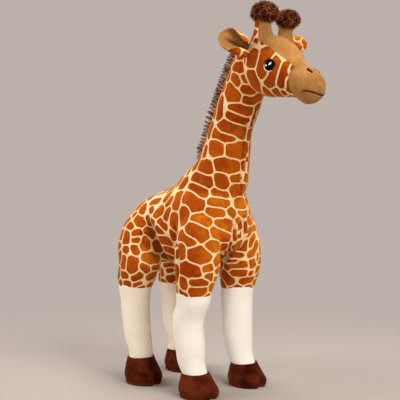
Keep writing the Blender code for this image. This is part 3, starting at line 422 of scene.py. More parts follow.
def sagittal_rings(rows, segments):
    """Ovals square to a curve in the XZ plane; a row is x, z, half depth and half width."""
    turn = np.linspace(0, 2 * math.pi, segments, endpoint=False)
    along = unit(np.gradient(rows[:, :2], axis=0))
    x = rows[:, 0, None] - along[:, 1, None] * rows[:, 2, None] * np.cos(turn)
    z = rows[:, 1, None] + along[:, 0, None] * rows[:, 2, None] * np.cos(turn)
    y = rows[:, 3, None] * np.sin(turn) + 0 * x
    return np.stack([x, y, z], 2)


def level_rings(rows, segments):
    """Level ovals; a row is z, x, y, half depth and half width."""
    turn = np.linspace(0, 2 * math.pi, segments, endpoint=False)
    x = rows[:, 1, None] + rows[:, 3, None] * np.cos(turn)
    y = rows[:, 2, None] + rows[:, 4, None] * np.sin(turn)
    return np.stack([x, y, rows[:, 0, None] + 0 * x], 2)


def round_rings(path, radii, reference, segments):
    """Circles square to a path, with the path's ways along, across the reference, and across both.

    A circle is its middle plus the radius times cosine and sine of the turn along the two ways.
    """
    along = unit(np.gradient(path, axis=0))
    side = unit(np.cross(along, reference))
    other = np.cross(along, side)
    turn = np.linspace(0, 2 * math.pi, segments, endpoint=False)[:, None]
    ways = side[:, None] * np.cos(turn) + other[:, None] * np.sin(turn)
    return path[:, None] + radii[:, None, None] * ways, along, side, other


def noise(points, size, seed):
    """Smooth noise from -1 to 1: random values on a cubic lattice, blended by smoothstep."""
    table = np.random.default_rng(seed).uniform(-1, 1, (24, 24, 24))
    cell, part = np.divmod(points / size, 1)
    cell = cell.astype(int)
    part = part * part * (3 - 2 * part)
    total = np.zeros(len(points))
    for corner in np.ndindex(2, 2, 2):
        at = (cell + corner) % 24
        weight = np.prod(np.where(np.array(corner) == 1, part, 1 - part), axis=1)
        total += weight * table[at[:, 0], at[:, 1], at[:, 2]]
    return total


# Meshes

def grid_faces(rows, columns, closed):
    """Quads between neighbouring points of a grid, round in its columns if closed."""
    i = np.arange(rows - 1)[:, None]
    j = np.arange(columns if closed else columns - 1)[None]
    k = (j + 1) % columns
    quads = [i * columns + j, i * columns + k, (i + 1) * columns + k, (i + 1) * columns + j]
    return np.stack(quads, 2).reshape(-1, 4)


def capped(rings):
    """Points and faces of a loft closed by a fan to the middle of each end ring."""
    rows, columns = rings.shape[:2]
    points = np.vstack([rings.reshape(-1, 3), rings[0].mean(0), rings[-1].mean(0)])
    j = np.arange(columns)
    k = (j + 1) % columns
    last = (rows - 1) * columns
    middle = rows * columns + 0 * j
    fans = np.stack([middle, k, j, middle + 1, last + j, last + k], 1).reshape(-1, 3)
    faces = grid_faces(rows, columns, True).tolist() + fans.tolist()
    return points, outward(points, faces)


def outward(points, faces):
    """Faces turned so that the volume they close is positive."""
    corners = np.array([face[:3] for face in faces])
    a, b, c = (points[corners[:, k]] for k in range(3))
    if np.einsum("ij,ij->", a - points.mean(0), np.cross(b - a, c - a)) < 0:
        faces = [face[::-1] for face in faces]
    return faces


def mesh_object(name, points, faces):
    """A smooth-shaded object at the origin, with its place in its mesh."""
    mesh = bpy.data.meshes.new(name)
    mesh.from_pydata(np.asarray(points).tolist(), [], [list(face) for face in faces])
    mesh.shade_smooth()
    obj = bpy.data.objects.new(name, mesh)
    bpy.context.scene.collection.objects.link(obj)
    return obj


def joined(parts):
    """Points and faces of several meshes as one."""
    points = []
    faces = []
    start = 0
    for part_points, part_faces in parts:
        points.append(part_points)
        faces += [[k + start for k in face] for face in part_faces]
        start += len(part_points)
    return np.vstack(points), faces


def triples(items, name):
    """One vector of each of the mesh's items, as rows."""
    values = np.empty(len(items) * 3, np.float32)
    items.foreach_get(name, values)
    return values.reshape(-1, 3).astype(float)


def points_of(obj):
    """Places of a mesh's points."""
    return triples(obj.data.vertices, "co")


def normals_of(obj):
    """Outward directions of a mesh's points."""
    return triples(obj.data.vertex_normals, "vector")


def move_points(obj, points):
    """Puts a mesh's points at new places."""
    obj.data.vertices.foreach_set("co", points.astype(np.float32).ravel())
    obj.data.update()


def applied(obj):
    """Applies an object's modifiers to its mesh."""
    depsgraph = bpy.context.evaluated_depsgraph_get()
    mesh = bpy.data.meshes.new_from_object(obj.evaluated_get(depsgraph))
    obj.modifiers.clear()
    obj.data = mesh
    mesh.shade_smooth()
    return obj


def fused(name, parts, voxel, rounds):
    """Closed forms as one even skin: a voxel remesh, smoothed, and subdivided once."""
    obj = mesh_object(name, *joined(parts))
    remesh = obj.modifiers.new("remesh", "REMESH")
    remesh.mode = "VOXEL"
    remesh.voxel_size = voxel
    smooth = obj.modifiers.new("smooth", "SMOOTH")
    smooth.factor = 0.5
    smooth.iterations = rounds
    finer = obj.modifiers.new("finer", "SUBSURF")
    finer.levels = 1
    finer.render_levels = 1
    return applied(obj)


def set_value(obj, name, values):
    """A value for each point, which a material reads."""
    layer = obj.data.attributes.get(name) or obj.data.attributes.new(name, "FLOAT", "POINT")
    layer.data.foreach_set("value", np.full(len(obj.data.vertices), values, np.float32))


def split(obj, name, inside):
    """Moves the faces whose middles pass the test into a new object."""
    chosen = inside(triples(obj.data.polygons, "center"))
    twin = bpy.data.objects.new(name, obj.data.copy())
    twin.data.name = name
    bpy.context.scene.collection.objects.link(twin)
    for piece, keep in ((obj, ~chosen), (twin, chosen)):
        work = bmesh.new()
        work.from_mesh(piece.data)
        work.faces.ensure_lookup_table()
        dropped = [work.faces[k] for k in np.flatnonzero(~keep)]
        bmesh.ops.delete(work, geom=dropped, context="FACES")
        work.to_mesh(piece.data)
        work.free()
    return twin


def slice_at(obj, place, normal, near):
    """Cuts edges along a plane through the faces whose middles pass the test."""
    chosen = np.flatnonzero(near(triples(obj.data.polygons, "center")))
    work = bmesh.new()
    work.from_mesh(obj.data)
    work.faces.ensure_lookup_table()
    faces = [work.faces[k] for k in chosen]
    edges = {edge for face in faces for edge in face.edges}
    verts = {vert for face in faces for vert in face.verts}
    bmesh.ops.bisect_plane(work, geom=faces + list(edges) + list(verts), dist=1e-6,
                           plane_co=place, plane_no=normal)
    work.to_mesh(obj.data)
    work.free()


def tree_of(*objects):
    """A search tree over the surfaces of the objects."""
    points, faces = joined([(points_of(o), [list(p.vertices) for p in o.data.polygons])
                            for o in objects])
    return BVHTree.FromPolygons(points.tolist(), faces)


# The camera's line of sight

RIGHT = np.array([math.cos(VIEW_TURN), math.sin(VIEW_TURN), 0])
LEVEL = np.array([-math.sin(VIEW_TURN), math.cos(VIEW_TURN), 0])
FORWARD = LEVEL * math.cos(VIEW_DIP) - np.array([0, 0, math.sin(VIEW_DIP)])
UPWARD = np.cross(RIGHT, FORWARD)
CAMERA = (np.array([VIEW_CENTRE_X, 0, VIEW_HEIGHT]) + VIEW_ASIDE * RIGHT - VIEW_BACK * LEVEL)


def seen(tree, x, y):
    """Point of a surface that a pixel of the photograph shows, with its normal, or None."""
    ray = FORWARD * FOCAL_PX + RIGHT * (x - FRAME_PX / 2) + UPWARD * (FRAME_PX / 2 - y)
    hit, normal, _, _ = tree.ray_cast(Vector(CAMERA), Vector(ray))
    return (None, None) if hit is None else (np.array(hit), np.array(normal))


PIXEL = VIEW_BACK / FOCAL_PX


def pixels_of(points):
    """Places of points in the photograph's frame."""
    offset = points - CAMERA
    depth = offset @ FORWARD
    return FRAME_PX / 2 + FOCAL_PX * np.stack([offset @ RIGHT, -(offset @ UPWARD)], 1) / depth[:, None]


def within(points, outline):
    """How far points lie inside an outline of the photograph, in metres, less than 0 outside.

    The outline is drawn on the near side, and holds for the far side too, because a point is
    taken to the near side first.
    """
    place = pixels_of(points * (1, 0, 1) - np.abs(points) * (0, 1, 0))
    a = np.array(outline, float)
    run = np.roll(a, -1, axis=0) - a
    offset = place[:, None] - a
    t = np.clip((offset * run).sum(2) / np.maximum((run * run).sum(1), 1e-9), 0, 1)
    distance = np.linalg.norm(offset - t[:, :, None] * run, axis=2).min(1)
    crosses = (a[:, 1] > place[:, 1:2]) != (a[:, 1] + run[:, 1] > place[:, 1:2])
    slope = run[:, 0] / np.where(run[:, 1] == 0, 1, run[:, 1])
    crosses &= place[:, :1] < a[:, 0] + (place[:, 1:2] - a[:, 1]) * slope
    return np.where(crosses.sum(1) % 2 == 1, distance, -distance) * PIXEL


# Forms of the stuffed parts

def torso_rows():
    """Rows of the torso in metres, from its shares: x, z, half depth, half width."""
    s = np.array(TORSO_SHARES)
    return np.column_stack([RUMP_X + s[:, 0] * BODY_LENGTH, BELLY_HEIGHT + s[:, 1] * BODY_DEPTH,
                            s[:, 2] * BODY_DEPTH / 2, s[:, 3] * BODY_WIDTH / 2])


def neck_rows():
    """Rows of the neck in metres, set so that the nod lies on their curve."""
    s = np.array(NECK_SHARES)
    nod = PLACES["head_nod"]
    return np.column_stack([nod[0] + (s[:, 0] - NOD_SHARES[0]) * NECK_LEAN,
                            nod[2] + (s[:, 1] - NOD_SHARES[1]) * NECK_RISE,
                            s[:, 2] * NECK_THICKNESS / 2, s[:, 3] * NECK_THICKNESS / 2])


NAPE = PLACES["head_nod"] + np.array([NAPE_SHARES[0] * HEAD_LENGTH, 0, NAPE_SHARES[1] * HEAD_DEPTH])


def head_rows():
    """Rows of the head in metres, from the nape to the nose."""
    s = np.array(HEAD_SHARES)
    return np.column_stack([NAPE[0] + s[:, 0] * HEAD_LENGTH, NAPE[2] + s[:, 1] * HEAD_LENGTH,
                            s[:, 2] * HEAD_DEPTH / 2, s[:, 3] * HEAD_WIDTH / 2])


def leg_rows(leg):
    """Rows of a leg from the shoulder to the ankle, in metres: z, x, y, half depth, half width."""
    pair, side = leg.split("_")
    s = np.array(LEG_SHARES[pair])
    hip_x = RUMP_X + HIP_SHARE[pair] * BODY_LENGTH
    x = hip_x + s[:, 1] * LEG_THICKNESS + s[:, 2] * REACH[leg] + s[:, 3] * SET_BACK[leg]
    return np.column_stack([s[:, 0] * HIP_HEIGHT, x, SIDES[side] * s[:, 4] * LEG_TRACK / 2,
                            s[:, 5] * LEG_THICKNESS / 2, s[:, 6] * LEG_THICKNESS / 2])


def upper_leg_form(leg):
    """The patched part of a leg, with a rounded hem where the stocking comes out."""
    rows = leg_rows(leg)
    hem = STOCKING_TOP[leg]
    upper = np.linspace(hem + HEM_RISE[1], rows[0, 0], 28)
    found = by_height(rows, np.concatenate([[hem, hem + HEM_RISE[0]], upper])[::-1])
    found[-2:, 3:] -= np.array(HEM_TUCK)[:, None]
    return capped(level_rings(found, 48))


def body_skin():
    """Torso, neck and upper legs as one skin, with creases where the stuffing gives."""
    forms = [capped(sagittal_rings(spline(torso_rows(), 60), 64)),
             capped(sagittal_rings(spline(neck_rows(), 60), 56))]
    forms += [upper_leg_form(leg) for leg in REACH]
    return fused("body_skin", forms, voxel=2.4 * MM, rounds=7)


def horn_rows(side):
    """Rows of a horn in metres, from inside the head to its top: z, x, y and half breadths."""
    rows = spline(HORN_SHARES, 30)
    tall = HORN_HEIGHT[side]
    half = HORN_THICKNESS[side] / 2
    ahead, aside, up = HORN_PLACE_SHARES
    return np.column_stack([
        NAPE[2] + up * HEAD_DEPTH + rows[:, 0] * tall,
        NAPE[0] + ahead * HEAD_LENGTH + rows[:, 1] * tall,
        SIDES[side] * (aside * HEAD_WIDTH / 2 + rows[:, 2] * tall),
        rows[:, 3] * half, rows[:, 4] * half])


def head_skin():
    """Head and horns as one skin, because the horns' covers run into the forehead."""
    forms = [capped(sagittal_rings(spline(head_rows(), 60), 64))]
    forms += [capped(level_rings(horn_rows(side), 40)) for side in SIDES]
    return fused("head_skin", forms, voxel=1.7 * MM, rounds=5)


def near_line(points, line):
    """Distance of points from a line of straight runs, and how far along it they are, 0 to 1."""
    best = np.full(len(points), np.inf)
    along = np.zeros(len(points))
    for k, (a, b) in enumerate(zip(line[:-1], line[1:])):
        run = b - a
        t = np.clip((points - a) @ run / max(run @ run, 1e-12), 0, 1)
        distance = np.linalg.norm(points - a - t[:, None] * run, axis=1)
        closer = distance < best
        best[closer] = distance[closer]
        along[closer] = (k + t[closer]) / (len(line) - 1)
    return best, along


def run_out(along):
    """1 along a line, falling evenly to 0 over its first and last fifth."""
    return np.clip(np.minimum(along, 1 - along) * 5, 0, 1)


def bell(distance, width):
    """Bell curve of a distance: 1 at none, and 1/e at the width."""
    return np.exp(-(distance / width) ** 2)


def crease(obj, line, depth, width):
    """Presses a groove with raised banks into a skin along a line that runs out at both ends."""
    points = points_of(obj)
    distance, along = near_line(points, line)
    profile = bell(distance, width) - 0.25 * bell(distance - 2 * width, width)
    move_points(obj, points - normals_of(obj) * (depth * profile * run_out(along))[:, None])


def line_seen(tree, pixels):
    """A smooth line on a surface through pixels of the photograph."""
    hits = [seen(tree, x, y)[0] for x, y in spline(pixels, 3 * len(pixels))]
    return np.array([hit for hit in hits if hit is not None])


def lumps(obj, amounts, seed):
    """Uneven stuffing: noise of several sizes along the normals."""
    points = points_of(obj)
    rise = sum(height * noise(points, size, seed + k) for k, (size, height) in enumerate(amounts))
    move_points(obj, points + normals_of(obj) * rise[:, None])


# Patches: how far one that was read may grow past its capsule, and for those made by rule, as
# shares of their spacing, the distance at which a point is bare, half thickness and half run

GROWTH_SHARE = 0.35
GROWTH = 1.6 * MM
BARE_SHARE = 0.42
HALF_SHARE = 0.34
RUN_SHARE = 0.2
CORNER_SOFTNESS = 0.6 * MM
LONGEST_PATCH = 40 * PIXEL
# A mirrored patch is kept this far from the others, in half thicknesses, and from the middle
TWIN_CLEAR_SHARE = 0.5
TWIN_ASIDE = 4 * MM
# A patch made by rule is dropped where it covers less than this share of the median
SLIVER_SHARE = 0.22
# Way that pile faces where it is painted golden, a painted sheen of the light
GOLD_LIGHT_WAY = (0.78, 0.10, 0.62)


def capsule_distances(points, patches):
    """Distance of every point from every patch's middle line, less its half thickness."""
    start, run, half = patches[:, 0:3], patches[:, 3:6] - patches[:, 0:3], patches[:, 6]
    squared = np.maximum((run * run).sum(1), 1e-12)
    rows = []
    for block in np.array_split(points, max(1, len(points) // 6000)):
        offset = block[:, None] - start[None]
        t = np.clip((offset * run).sum(2) / squared, 0, 1)
        rows.append(np.linalg.norm(offset - t[:, :, None] * run, axis=2) - half)
    return np.vstack(rows)


def read_patches(tree, rows):
    """Patches on a surface from their places in the photograph.

    A row is left out where one of its ends misses the surface or meets another part of it.
    """
    found = []
    for x1, y1, x2, y2, half in rows:
        start, _ = seen(tree, x1, y1)
        end, _ = seen(tree, x2, y2)
        if start is None or end is None or np.linalg.norm(start - end) > LONGEST_PATCH:
            continue
        found.append([*start, *end, half * PIXEL, GROWTH_SHARE * half * PIXEL + GROWTH])
    return np.array(found)


def mirrored(patches):
    """The patches' copies on the other side, where none lies yet."""
    flip = np.array([1, -1, 1, 1, -1, 1, 1, 1])
    twins = patches * flip
    middles = (twins[:, 0:3] + twins[:, 3:6]) / 2
    clear = capsule_distances(middles, patches).min(1) > TWIN_CLEAR_SHARE * twins[:, 6]
    return np.vstack([patches, twins[clear & (np.abs(middles[:, 1]) > TWIN_ASIDE)]])


def filled(patches, points, normals, spacing, lie, seed):
    """Adds a patch at the barest point again and again, until none is bare.

    A point is bare where it lies further from all patches than a share of the spacing there.
    A patch's run lies the given way, shaken a little, and level with the surface.
    """
    random = np.random.default_rng(seed)
    nearest = capsule_distances(points, patches).min(1) if len(patches) else np.full(len(points), 1.0)
    while True:
        bare = nearest - BARE_SHARE * spacing
        k = int(np.argmax(bare))
        if bare[k] <= 0:
            return patches
        size = spacing[k] * random.uniform(0.85, 1.15)
        run = lie[k] + 0.35 * random.normal(size=3)
        run = run - normals[k] * (run @ normals[k])
        run = run / max(np.linalg.norm(run), 1e-9) * size * RUN_SHARE
        new = np.array([[*(points[k] - run), *(points[k] + run), HALF_SHARE * size, size]])
        patches = np.vstack([patches, new]) if len(patches) else new
        nearest = np.minimum(nearest, capsule_distances(points, new)[:, 0])


def paint_patches(obj, patches, seed, shade=1.0):
    """Stores how far each point lies from its patch's border, in mm, and its patch's tone.

    The border is half the lead of the nearest patch over the others, taken together by a
    soft minimum, which rounds the patches' corners. No patch grows further past its capsule
    than its last value says. The given shade is stored as painted shade, and pile that faces
    up, ahead or back gets a golden share, a painted sheen of the light on it.
    """
    points = points_of(obj)
    normals = normals_of(obj)
    distance = capsule_distances(points, patches)
    first = distance.argmin(1)
    least = distance.min(1)
    lead = distance - least[:, None]
    lead[np.arange(len(points)), first] = np.inf
    edge = -CORNER_SOFTNESS * np.log(np.exp(-lead / 2 / CORNER_SOFTNESS).sum(1) + 1e-12)
    edge = np.minimum(edge, patches[first, 7] - least)
    tone = np.random.default_rng(seed).uniform(0, 1, len(patches))
    set_value(obj, "edge", edge / MM)
    set_value(obj, "tone", tone[first])
    set_value(obj, "shade", shade)
    # Painted sheen: pile that faces the light, or faces back, gets a golden share
    facing = np.clip((normals @ np.array(GOLD_LIGHT_WAY) - 0.30) / 0.6, 0, 1)
    back = np.clip((-normals[:, 0] - 0.45) / 0.5, 0, 1)
    set_value(obj, "gold", np.clip(0.75 * facing + 0.55 * back, 0, 1))


# Materials

def node(tree, kind, inputs=None, **settings):
    """A node with its settings, and each input linked to a socket or set to a value."""
    made = tree.nodes.new(kind)
    for key, value in settings.items():
        setattr(made, key, value)
    for key, value in (inputs or {}).items():
        if isinstance(value, bpy.types.NodeSocket):
            tree.links.new(value, made.inputs[key])
        else:
            made.inputs[key].default_value = value
    return made


def colour(rgb):
    return (*rgb, 1.0)


def mix(tree, factor, a, b):
    """Colour a turned into colour b by the factor; inputs 6 and 7 are the node's colour ones."""
    return node(tree, "ShaderNodeMix", {0: factor, 6: a, 7: b}, data_type="RGBA").outputs[2]


def ranged(tree, value, low, high, to_low=0.0, to_high=1.0):
    """The value's range stretched to another, held at both ends."""
    inputs = {"Value": value, "From Min": low, "From Max": high, "To Min": to_low, "To Max": to_high}
    return node(tree, "ShaderNodeMapRange", inputs).outputs[0]


def sum_of(tree, a, b, how="ADD"):
    """Two values added, or joined by another operation."""
    return node(tree, "ShaderNodeMath", {0: a, 1: b}, operation=how).outputs[0]


def grain(tree, place, scale, detail=2.0, roughness=0.5):
    """Fractal noise of the place, from 0 to 1."""
    inputs = {"Vector": place, "Scale": scale, "Detail": detail, "Roughness": roughness}
    return node(tree, "ShaderNodeTexNoise", inputs).outputs[0]


def dimmed(tree, paint, level):
    """Paint made darker or lighter by a level."""
    return node(tree, "ShaderNodeHueSaturation", {"Value": level, "Color": paint}).outputs[0]


def value_of(tree, name):
    """The value that a mesh's points hold under a name."""
    return node(tree, "ShaderNodeAttribute", attribute_name=name).outputs["Fac"]


def finish(name, roughness, specular):
    """A new material with its node tree, its shader and its place on the object."""
    material = bpy.data.materials.new(name)
    material.use_nodes = True
    tree = material.node_tree
    shader = tree.nodes["Principled BSDF"]
    shader.inputs["Roughness"].default_value = roughness
    shader.inputs["Specular IOR Level"].default_value = specular
    return material, tree, shader, node(tree, "ShaderNodeTexCoord").outputs["Object"]


def fabric(name, paint, sheen, tint, roughness=0.95, pile=0.5, uneven=0.12):
    """A plush finish: paint(tree, place) gives its colour, and fibres and tufts its bumps."""
    material, tree, shader, place = finish(name, roughness, 0.05)
    painted = paint(tree, place)
    mottle = ranged(tree, grain(tree, place, 90.0, 3.0, 0.6), 0.3, 0.7, 1 - uneven, 1 + 0.6 * uneven)
    speckle = ranged(tree, grain(tree, place, 520.0, 3.0, 0.7), 0.3, 0.7, 1 - 1.2 * uneven, 1 + uneven)
    level = sum_of(tree, mottle, speckle, "MULTIPLY")
    tree.links.new(dimmed(tree, painted, level), shader.inputs["Base Color"])
    fibres = grain(tree, place, 1500.0, 3.0, 0.7)
    tufts = grain(tree, place, 320.0, 2.0, 0.5)
    height = sum_of(tree, fibres, sum_of(tree, tufts, 1.6, "MULTIPLY"))
    bump = node(tree, "ShaderNodeBump", {"Height": height, "Strength": pile, "Distance": 0.5 * MM})
    tree.links.new(bump.outputs[0], shader.inputs["Normal"])
    shader.inputs["Sheen Weight"].default_value = sheen
    shader.inputs["Sheen Roughness"].default_value = 0.4
    shader.inputs["Sheen Tint"].default_value = colour(tint)
    return material


# Colours of the finishes, in linear light
PATCH_DARK = (0.300, 0.034, 0.0012)
PATCH_LIGHT = (0.440, 0.070, 0.0024)
# Golden tone of the painted sheen on the patches
PATCH_GOLD = (0.600, 0.165, 0.0055)
PATCH_RIM = (0.200, 0.036, 0.0015)
LINE_WARM = (0.960, 0.630, 0.310)
LINE_PALE = (0.820, 0.680, 0.450)
# Tone that the cream lines take in painted shade
LINE_DEEP = (0.420, 0.150, 0.040)
TAN = (0.470, 0.215, 0.062)
# Two copies of the stockings' cream: the hind copy is painted paler and warmer, as painted light for how
# light falls on the hind legs
CREAM_FRONT = (0.930, 0.890, 0.790)
CREAM_HIND = (0.990, 0.890, 0.735)
HOOF_DARK = (0.030, 0.0030, 0.0007)
HOOF_LIGHT = (0.135, 0.0230, 0.0058)
FUR_DARK = (0.018, 0.0016, 0.0008)
FUR_TIP = (0.460, 0.140, 0.0550)
MANE_DARK = (0.078, 0.0115, 0.0038)
MANE_TIP = (0.900, 0.560, 0.3950)


def patch_paint(tree, place):
    """Brown patches with thin darker rims, between cream lines that pale where they meet; patches turn
    golden by painted sheen, and patches and lines darken by painted shade.
    """
    edge = value_of(tree, "edge")
    fuzz = ranged(tree, grain(tree, place, 1100.0, 2.0, 0.6), 0.0, 1.0, -0.45, 0.45)
    wander = ranged(tree, grain(tree, place, 160.0, 1.0), 0.0, 1.0, -0.4, 0.4)
    border = sum_of(tree, edge, sum_of(tree, fuzz, wander))
    inside = ranged(tree, border, 0.72, 1.28)
    heart = ranged(tree, border, 1.1, 2.5)
    patch = mix(tree, value_of(tree, "tone"), colour(PATCH_DARK), colour(PATCH_LIGHT))
    # Painted sheen: the golden share from the normals, shaken by noise
    brushed = sum_of(tree, value_of(tree, "gold"), ranged(tree, grain(tree, place, 45.0, 3.0, 0.6),
                                                         0.35, 0.65, 0.45, 1.25), "MULTIPLY")
    ruffled = ranged(tree, grain(tree, place, 85.0, 3.0, 0.6), 0.50, 0.75, 0.0, 0.40)
    patch = mix(tree, sum_of(tree, brushed, ruffled), patch, colour(PATCH_GOLD))
    patch = mix(tree, heart, mix(tree, 0.40, patch, colour(PATCH_RIM)), patch)
    line = mix(tree, ranged(tree, edge, -1.6, 0.2), colour(LINE_PALE), colour(LINE_WARM))
    # Painted shade: lines in folds and seams turn to the deep tone
    line = mix(tree, ranged(tree, value_of(tree, "shade"), 0.1, 0.9), colour(LINE_DEEP), line)
    return mix(tree, inside, line, shaded(tree, patch))


def shaded(tree, paint):
    """Paint darkened by the attribute shade, which holds painted shade, mostly in folds and seams."""
    return dimmed(tree, paint, value_of(tree, "shade"))


def two_tones(low, high, scale):
    """Paint that drifts between two tones, as brushed pile does."""
    def paint(tree, place):
        drift = ranged(tree, grain(tree, place, scale, 3.0, 0.6), 0.36, 0.64)
        return mix(tree, drift, colour(low), colour(high))
    return paint


def shade_of(rgb, share):
    """A tone times a share."""
    return tuple(share * part for part in rgb)


def plush(name, rgb, drift, sheen, tint, uneven, shades=False):
    """Plain plush, whose colour drifts a little, darkened by the painted shade in its attribute shade
    where it has one.
    """
    drifting = two_tones(shade_of(rgb, 1 - drift), rgb, 60.0)

    def paint(tree, place):
        return shaded(tree, drifting(tree, place)) if shades else drifting(tree, place)
    return fabric(name, paint, sheen, tint, uneven=uneven)


def fur(name, root, tip, scale, dark=0.10):
    """Strands, darker at the root and in patches of noise that stand as painted shade between locks; a
    strand's length is in its attribute tip.
    """
    def paint(tree, place):
        locks = ranged(tree, grain(tree, place, scale, 2.0, 0.5), 0.38, 0.62, dark, 1.25)
        reach = sum_of(tree, value_of(tree, "tip"), locks, "MULTIPLY")
        return mix(tree, reach, colour(root), colour(tip))
    return fabric(name, paint, 0.0, (1.0, 1.0, 1.0), 0.8, 0.1)


PATCHED = fabric("patched_plush", patch_paint, 0.75, (1.0, 0.45, 0.06))
TAN_PLUSH = plush("tan_plush", TAN, 0.14, 0.3, (1.0, 0.65, 0.30), 0.20, True)
CREAM_PLUSH = {"front": plush("cream_plush", CREAM_FRONT, 0.02, 0.25, (1.0, 0.97, 0.90), 0.02),
               "hind": plush("warm_cream_plush", CREAM_HIND, 0.03, 0.35, (1.0, 0.93, 0.80), 0.02)}
HOOF_PLUSH = fabric("hoof_plush", two_tones(HOOF_DARK, HOOF_LIGHT, 38.0), 0.2, (0.9, 0.25, 0.10))
MANE_FUR = fur("mane_fur", MANE_DARK, MANE_TIP, 320.0, 0.70)
TUFT_FUR = fur("tuft_fur", FUR_DARK, FUR_TIP, 190.0)


def satin(name, rgb, roughness=0.35):
    """Embroidery: close stitches across the piece, with a soft shine."""
    material, tree, shader, place = finish(name, roughness, 0.05)
    stitches = node(tree, "ShaderNodeTexWave", {"Vector": place, "Scale": 700.0, "Distortion": 1.5},
                    bands_direction="Z").outputs["Fac"]
    shade = ranged(tree, stitches, 0.0, 1.0, 0.75, 1.1)
    tree.links.new(dimmed(tree, colour(rgb), shade), shader.inputs["Base Color"])
    bump = node(tree, "ShaderNodeBump", {"Height": stitches, "Strength": 0.3, "Distance": 0.2 * MM})
    tree.links.new(bump.outputs[0], shader.inputs["Normal"])
    return material


EYE_BLACK = satin("eye_black", (0.0015, 0.0012, 0.003))
EYE_BROWN = satin("eye_brown", (0.035, 0.007, 0.005))
EYE_WHITE = satin("eye_white", (0.90, 0.86, 0.82))
LID_THREAD = satin("lid_thread", (0.020, 0.004, 0.004))
MOUTH_THREAD = satin("mouth_thread", (0.030, 0.004, 0.003), 0.7)


def dress(obj, material):
    """Gives a piece its finish."""
    obj.data.materials.clear()
    obj.data.materials.append(material)
    return obj


def soft_piece(obj, material, slot, fill, body, *nodes):
    """Dresses a piece, which rides on a body; given two bodies, it is left where it is.

    The body is a name, or two names with the start and the end of the bend between them. The
    nodes are those that the piece stands for.
    """
    dress(obj, material)
    if isinstance(body, str):
        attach(obj, body)
    else:
        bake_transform(obj)
    if nodes:
        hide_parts(*nodes)
    return obj


# Skins of the body and the head

BODY = body_skin()
HEAD = head_skin()
ROUGH_TREE = tree_of(BODY, HEAD)

folds = []
for depth, width, pixels in CREASES_PX:
    line = line_seen(ROUGH_TREE, pixels)
    for mirror in MIRRORS:
        crease(BODY, line * mirror, depth, width)
        folds.append((line * mirror, depth, width))
lumps(BODY, BODY_LUMPS, 1)
lumps(HEAD, HEAD_LUMPS, 5)

SKIN_TREE = tree_of(BODY, HEAD)
read = [CHEEK_PATCHES_PX, NECK_PATCHES_PX, BODY_PATCHES_PX, CHEST_PATCHES_PX]
PATCHES = read_patches(SKIN_TREE, [row for rows in read for row in rows])
READ_COUNT = len(PATCHES)
PATCHES = mirrored(PATCHES)


def body_lie(points):
    """Which way patches lie, and how far apart they are: level on the neck, upright below."""
    up_neck = np.clip((points[:, 2] - NECK_FOOT) / NECK_FOOT_RUN, 0, 1)[:, None]
    lie = up_neck * NECK_LIE + (1 - up_neck) * BODY_LIE
    spacing = BODY_SPACING + 0 * points[:, 0]
    spacing += NECK_SPACING_MORE * up_neck[:, 0]
    spacing -= RUMP_SPACING_LESS * np.clip((RUMP_START - points[:, 0]) / RUMP_RUN, 0, 1)
    return lie, spacing


for obj in (BODY, HEAD):
    points = points_of(obj)
    lie, spacing = body_lie(points)
    PATCHES = filled(PATCHES, points[::3], normals_of(obj)[::3], spacing[::3], lie[::3], 3)
skin_points = np.vstack([points_of(BODY), points_of(HEAD)])
shares = np.bincount(capsule_distances(skin_points, PATCHES).argmin(1), minlength=len(PATCHES))
PATCHES = PATCHES[(shares > SLIVER_SHARE * np.median(shares)) | (np.arange(len(PATCHES)) < READ_COUNT)]


def fold_shade(obj):
    """Painted shade of the folds: darker near each fold by a bell curve of the distance from it."""
    points = points_of(obj)
    shade = np.ones(len(points))
    for line, depth, width in folds:
        distance, along = near_line(points, line)
        share = min(FOLD_MOST, FOLD_LEAST + depth / FOLD_SHADE_DEPTH)
        reach = width * (FOLD_REACH + depth / FOLD_REACH_DEPTH)
        shade *= 1 - share * run_out(along) * bell(distance, reach)
    return shade


# The body's skin, split where it bends

NOD = PLACES["head_nod"]
NECK_UP = np.array([math.sqrt(0.5), 0, math.sqrt(0.5)])
NECK_BEND = tuple(NOD + NECK_UP * stretch for stretch in NECK_STRETCH)


def leg_bend(leg):
    """Start and end of the stretch from the trunk to a leg; the skin is split at its start."""
    pair, side = leg.split("_")
    hip = PLACES[leg + "_hip"]
    ahead = 1 if pair == "front" else -1
    start = np.array([hip[0], 0, HIP_HEIGHT - BEND_DROP])
    return start, start + np.array([ahead, SIDES[side], 1]) * BEND_RUN


def patched_skin(skin, body, *nodes):
    """Paints the patches and the folds' shade on a part of the body's skin."""
    paint_patches(skin, PATCHES, 7, fold_shade(skin))
    soft_piece(skin, PATCHED, "patched_plush", 0.8, body, *nodes)


leg_skins = []
for leg in REACH:
    start, end = leg_bend(leg)
    side = SIDES[leg.split("_")[1]]
    middle = PLACES[leg + "_hip"][0]

    def near(centres, middle=middle, side=side):
        return (np.abs(centres[:, 0] - middle) < LEG_REGION) & (centres[:, 1] * side > 0)

    def below(centres, start=start, end=end, near=near):
        return near(centres) & ((centres - start) @ (end - start) > 0)

    slice_at(BODY, start, end - start, near)
    skin = split(BODY, leg + "_skin", below)
    leg_skins.append((leg, skin, start, end))

slice_at(BODY, NECK_BEND[0], NECK_UP, lambda c: c[:, 2] > NECK_TOP_FLOOR)
NECK_TOP = split(BODY, "neck_top_skin",
                 lambda c: (c[:, 2] > NECK_TOP_FLOOR) & ((c - NECK_BEND[0]) @ NECK_UP > 0))

for leg, skin, start, end in leg_skins:
    patched_skin(skin, ("trunk", leg + "_leg", start, end), leg + "_upper_cover", leg + "_filling")
patched_skin(NECK_TOP, ("trunk", "head", *NECK_BEND))
patched_skin(BODY, "trunk", "torso_cover", "torso_filling", "neck_cover", "neck_filling")


# Head: the muzzle, the blaze and the cheeks part along seams

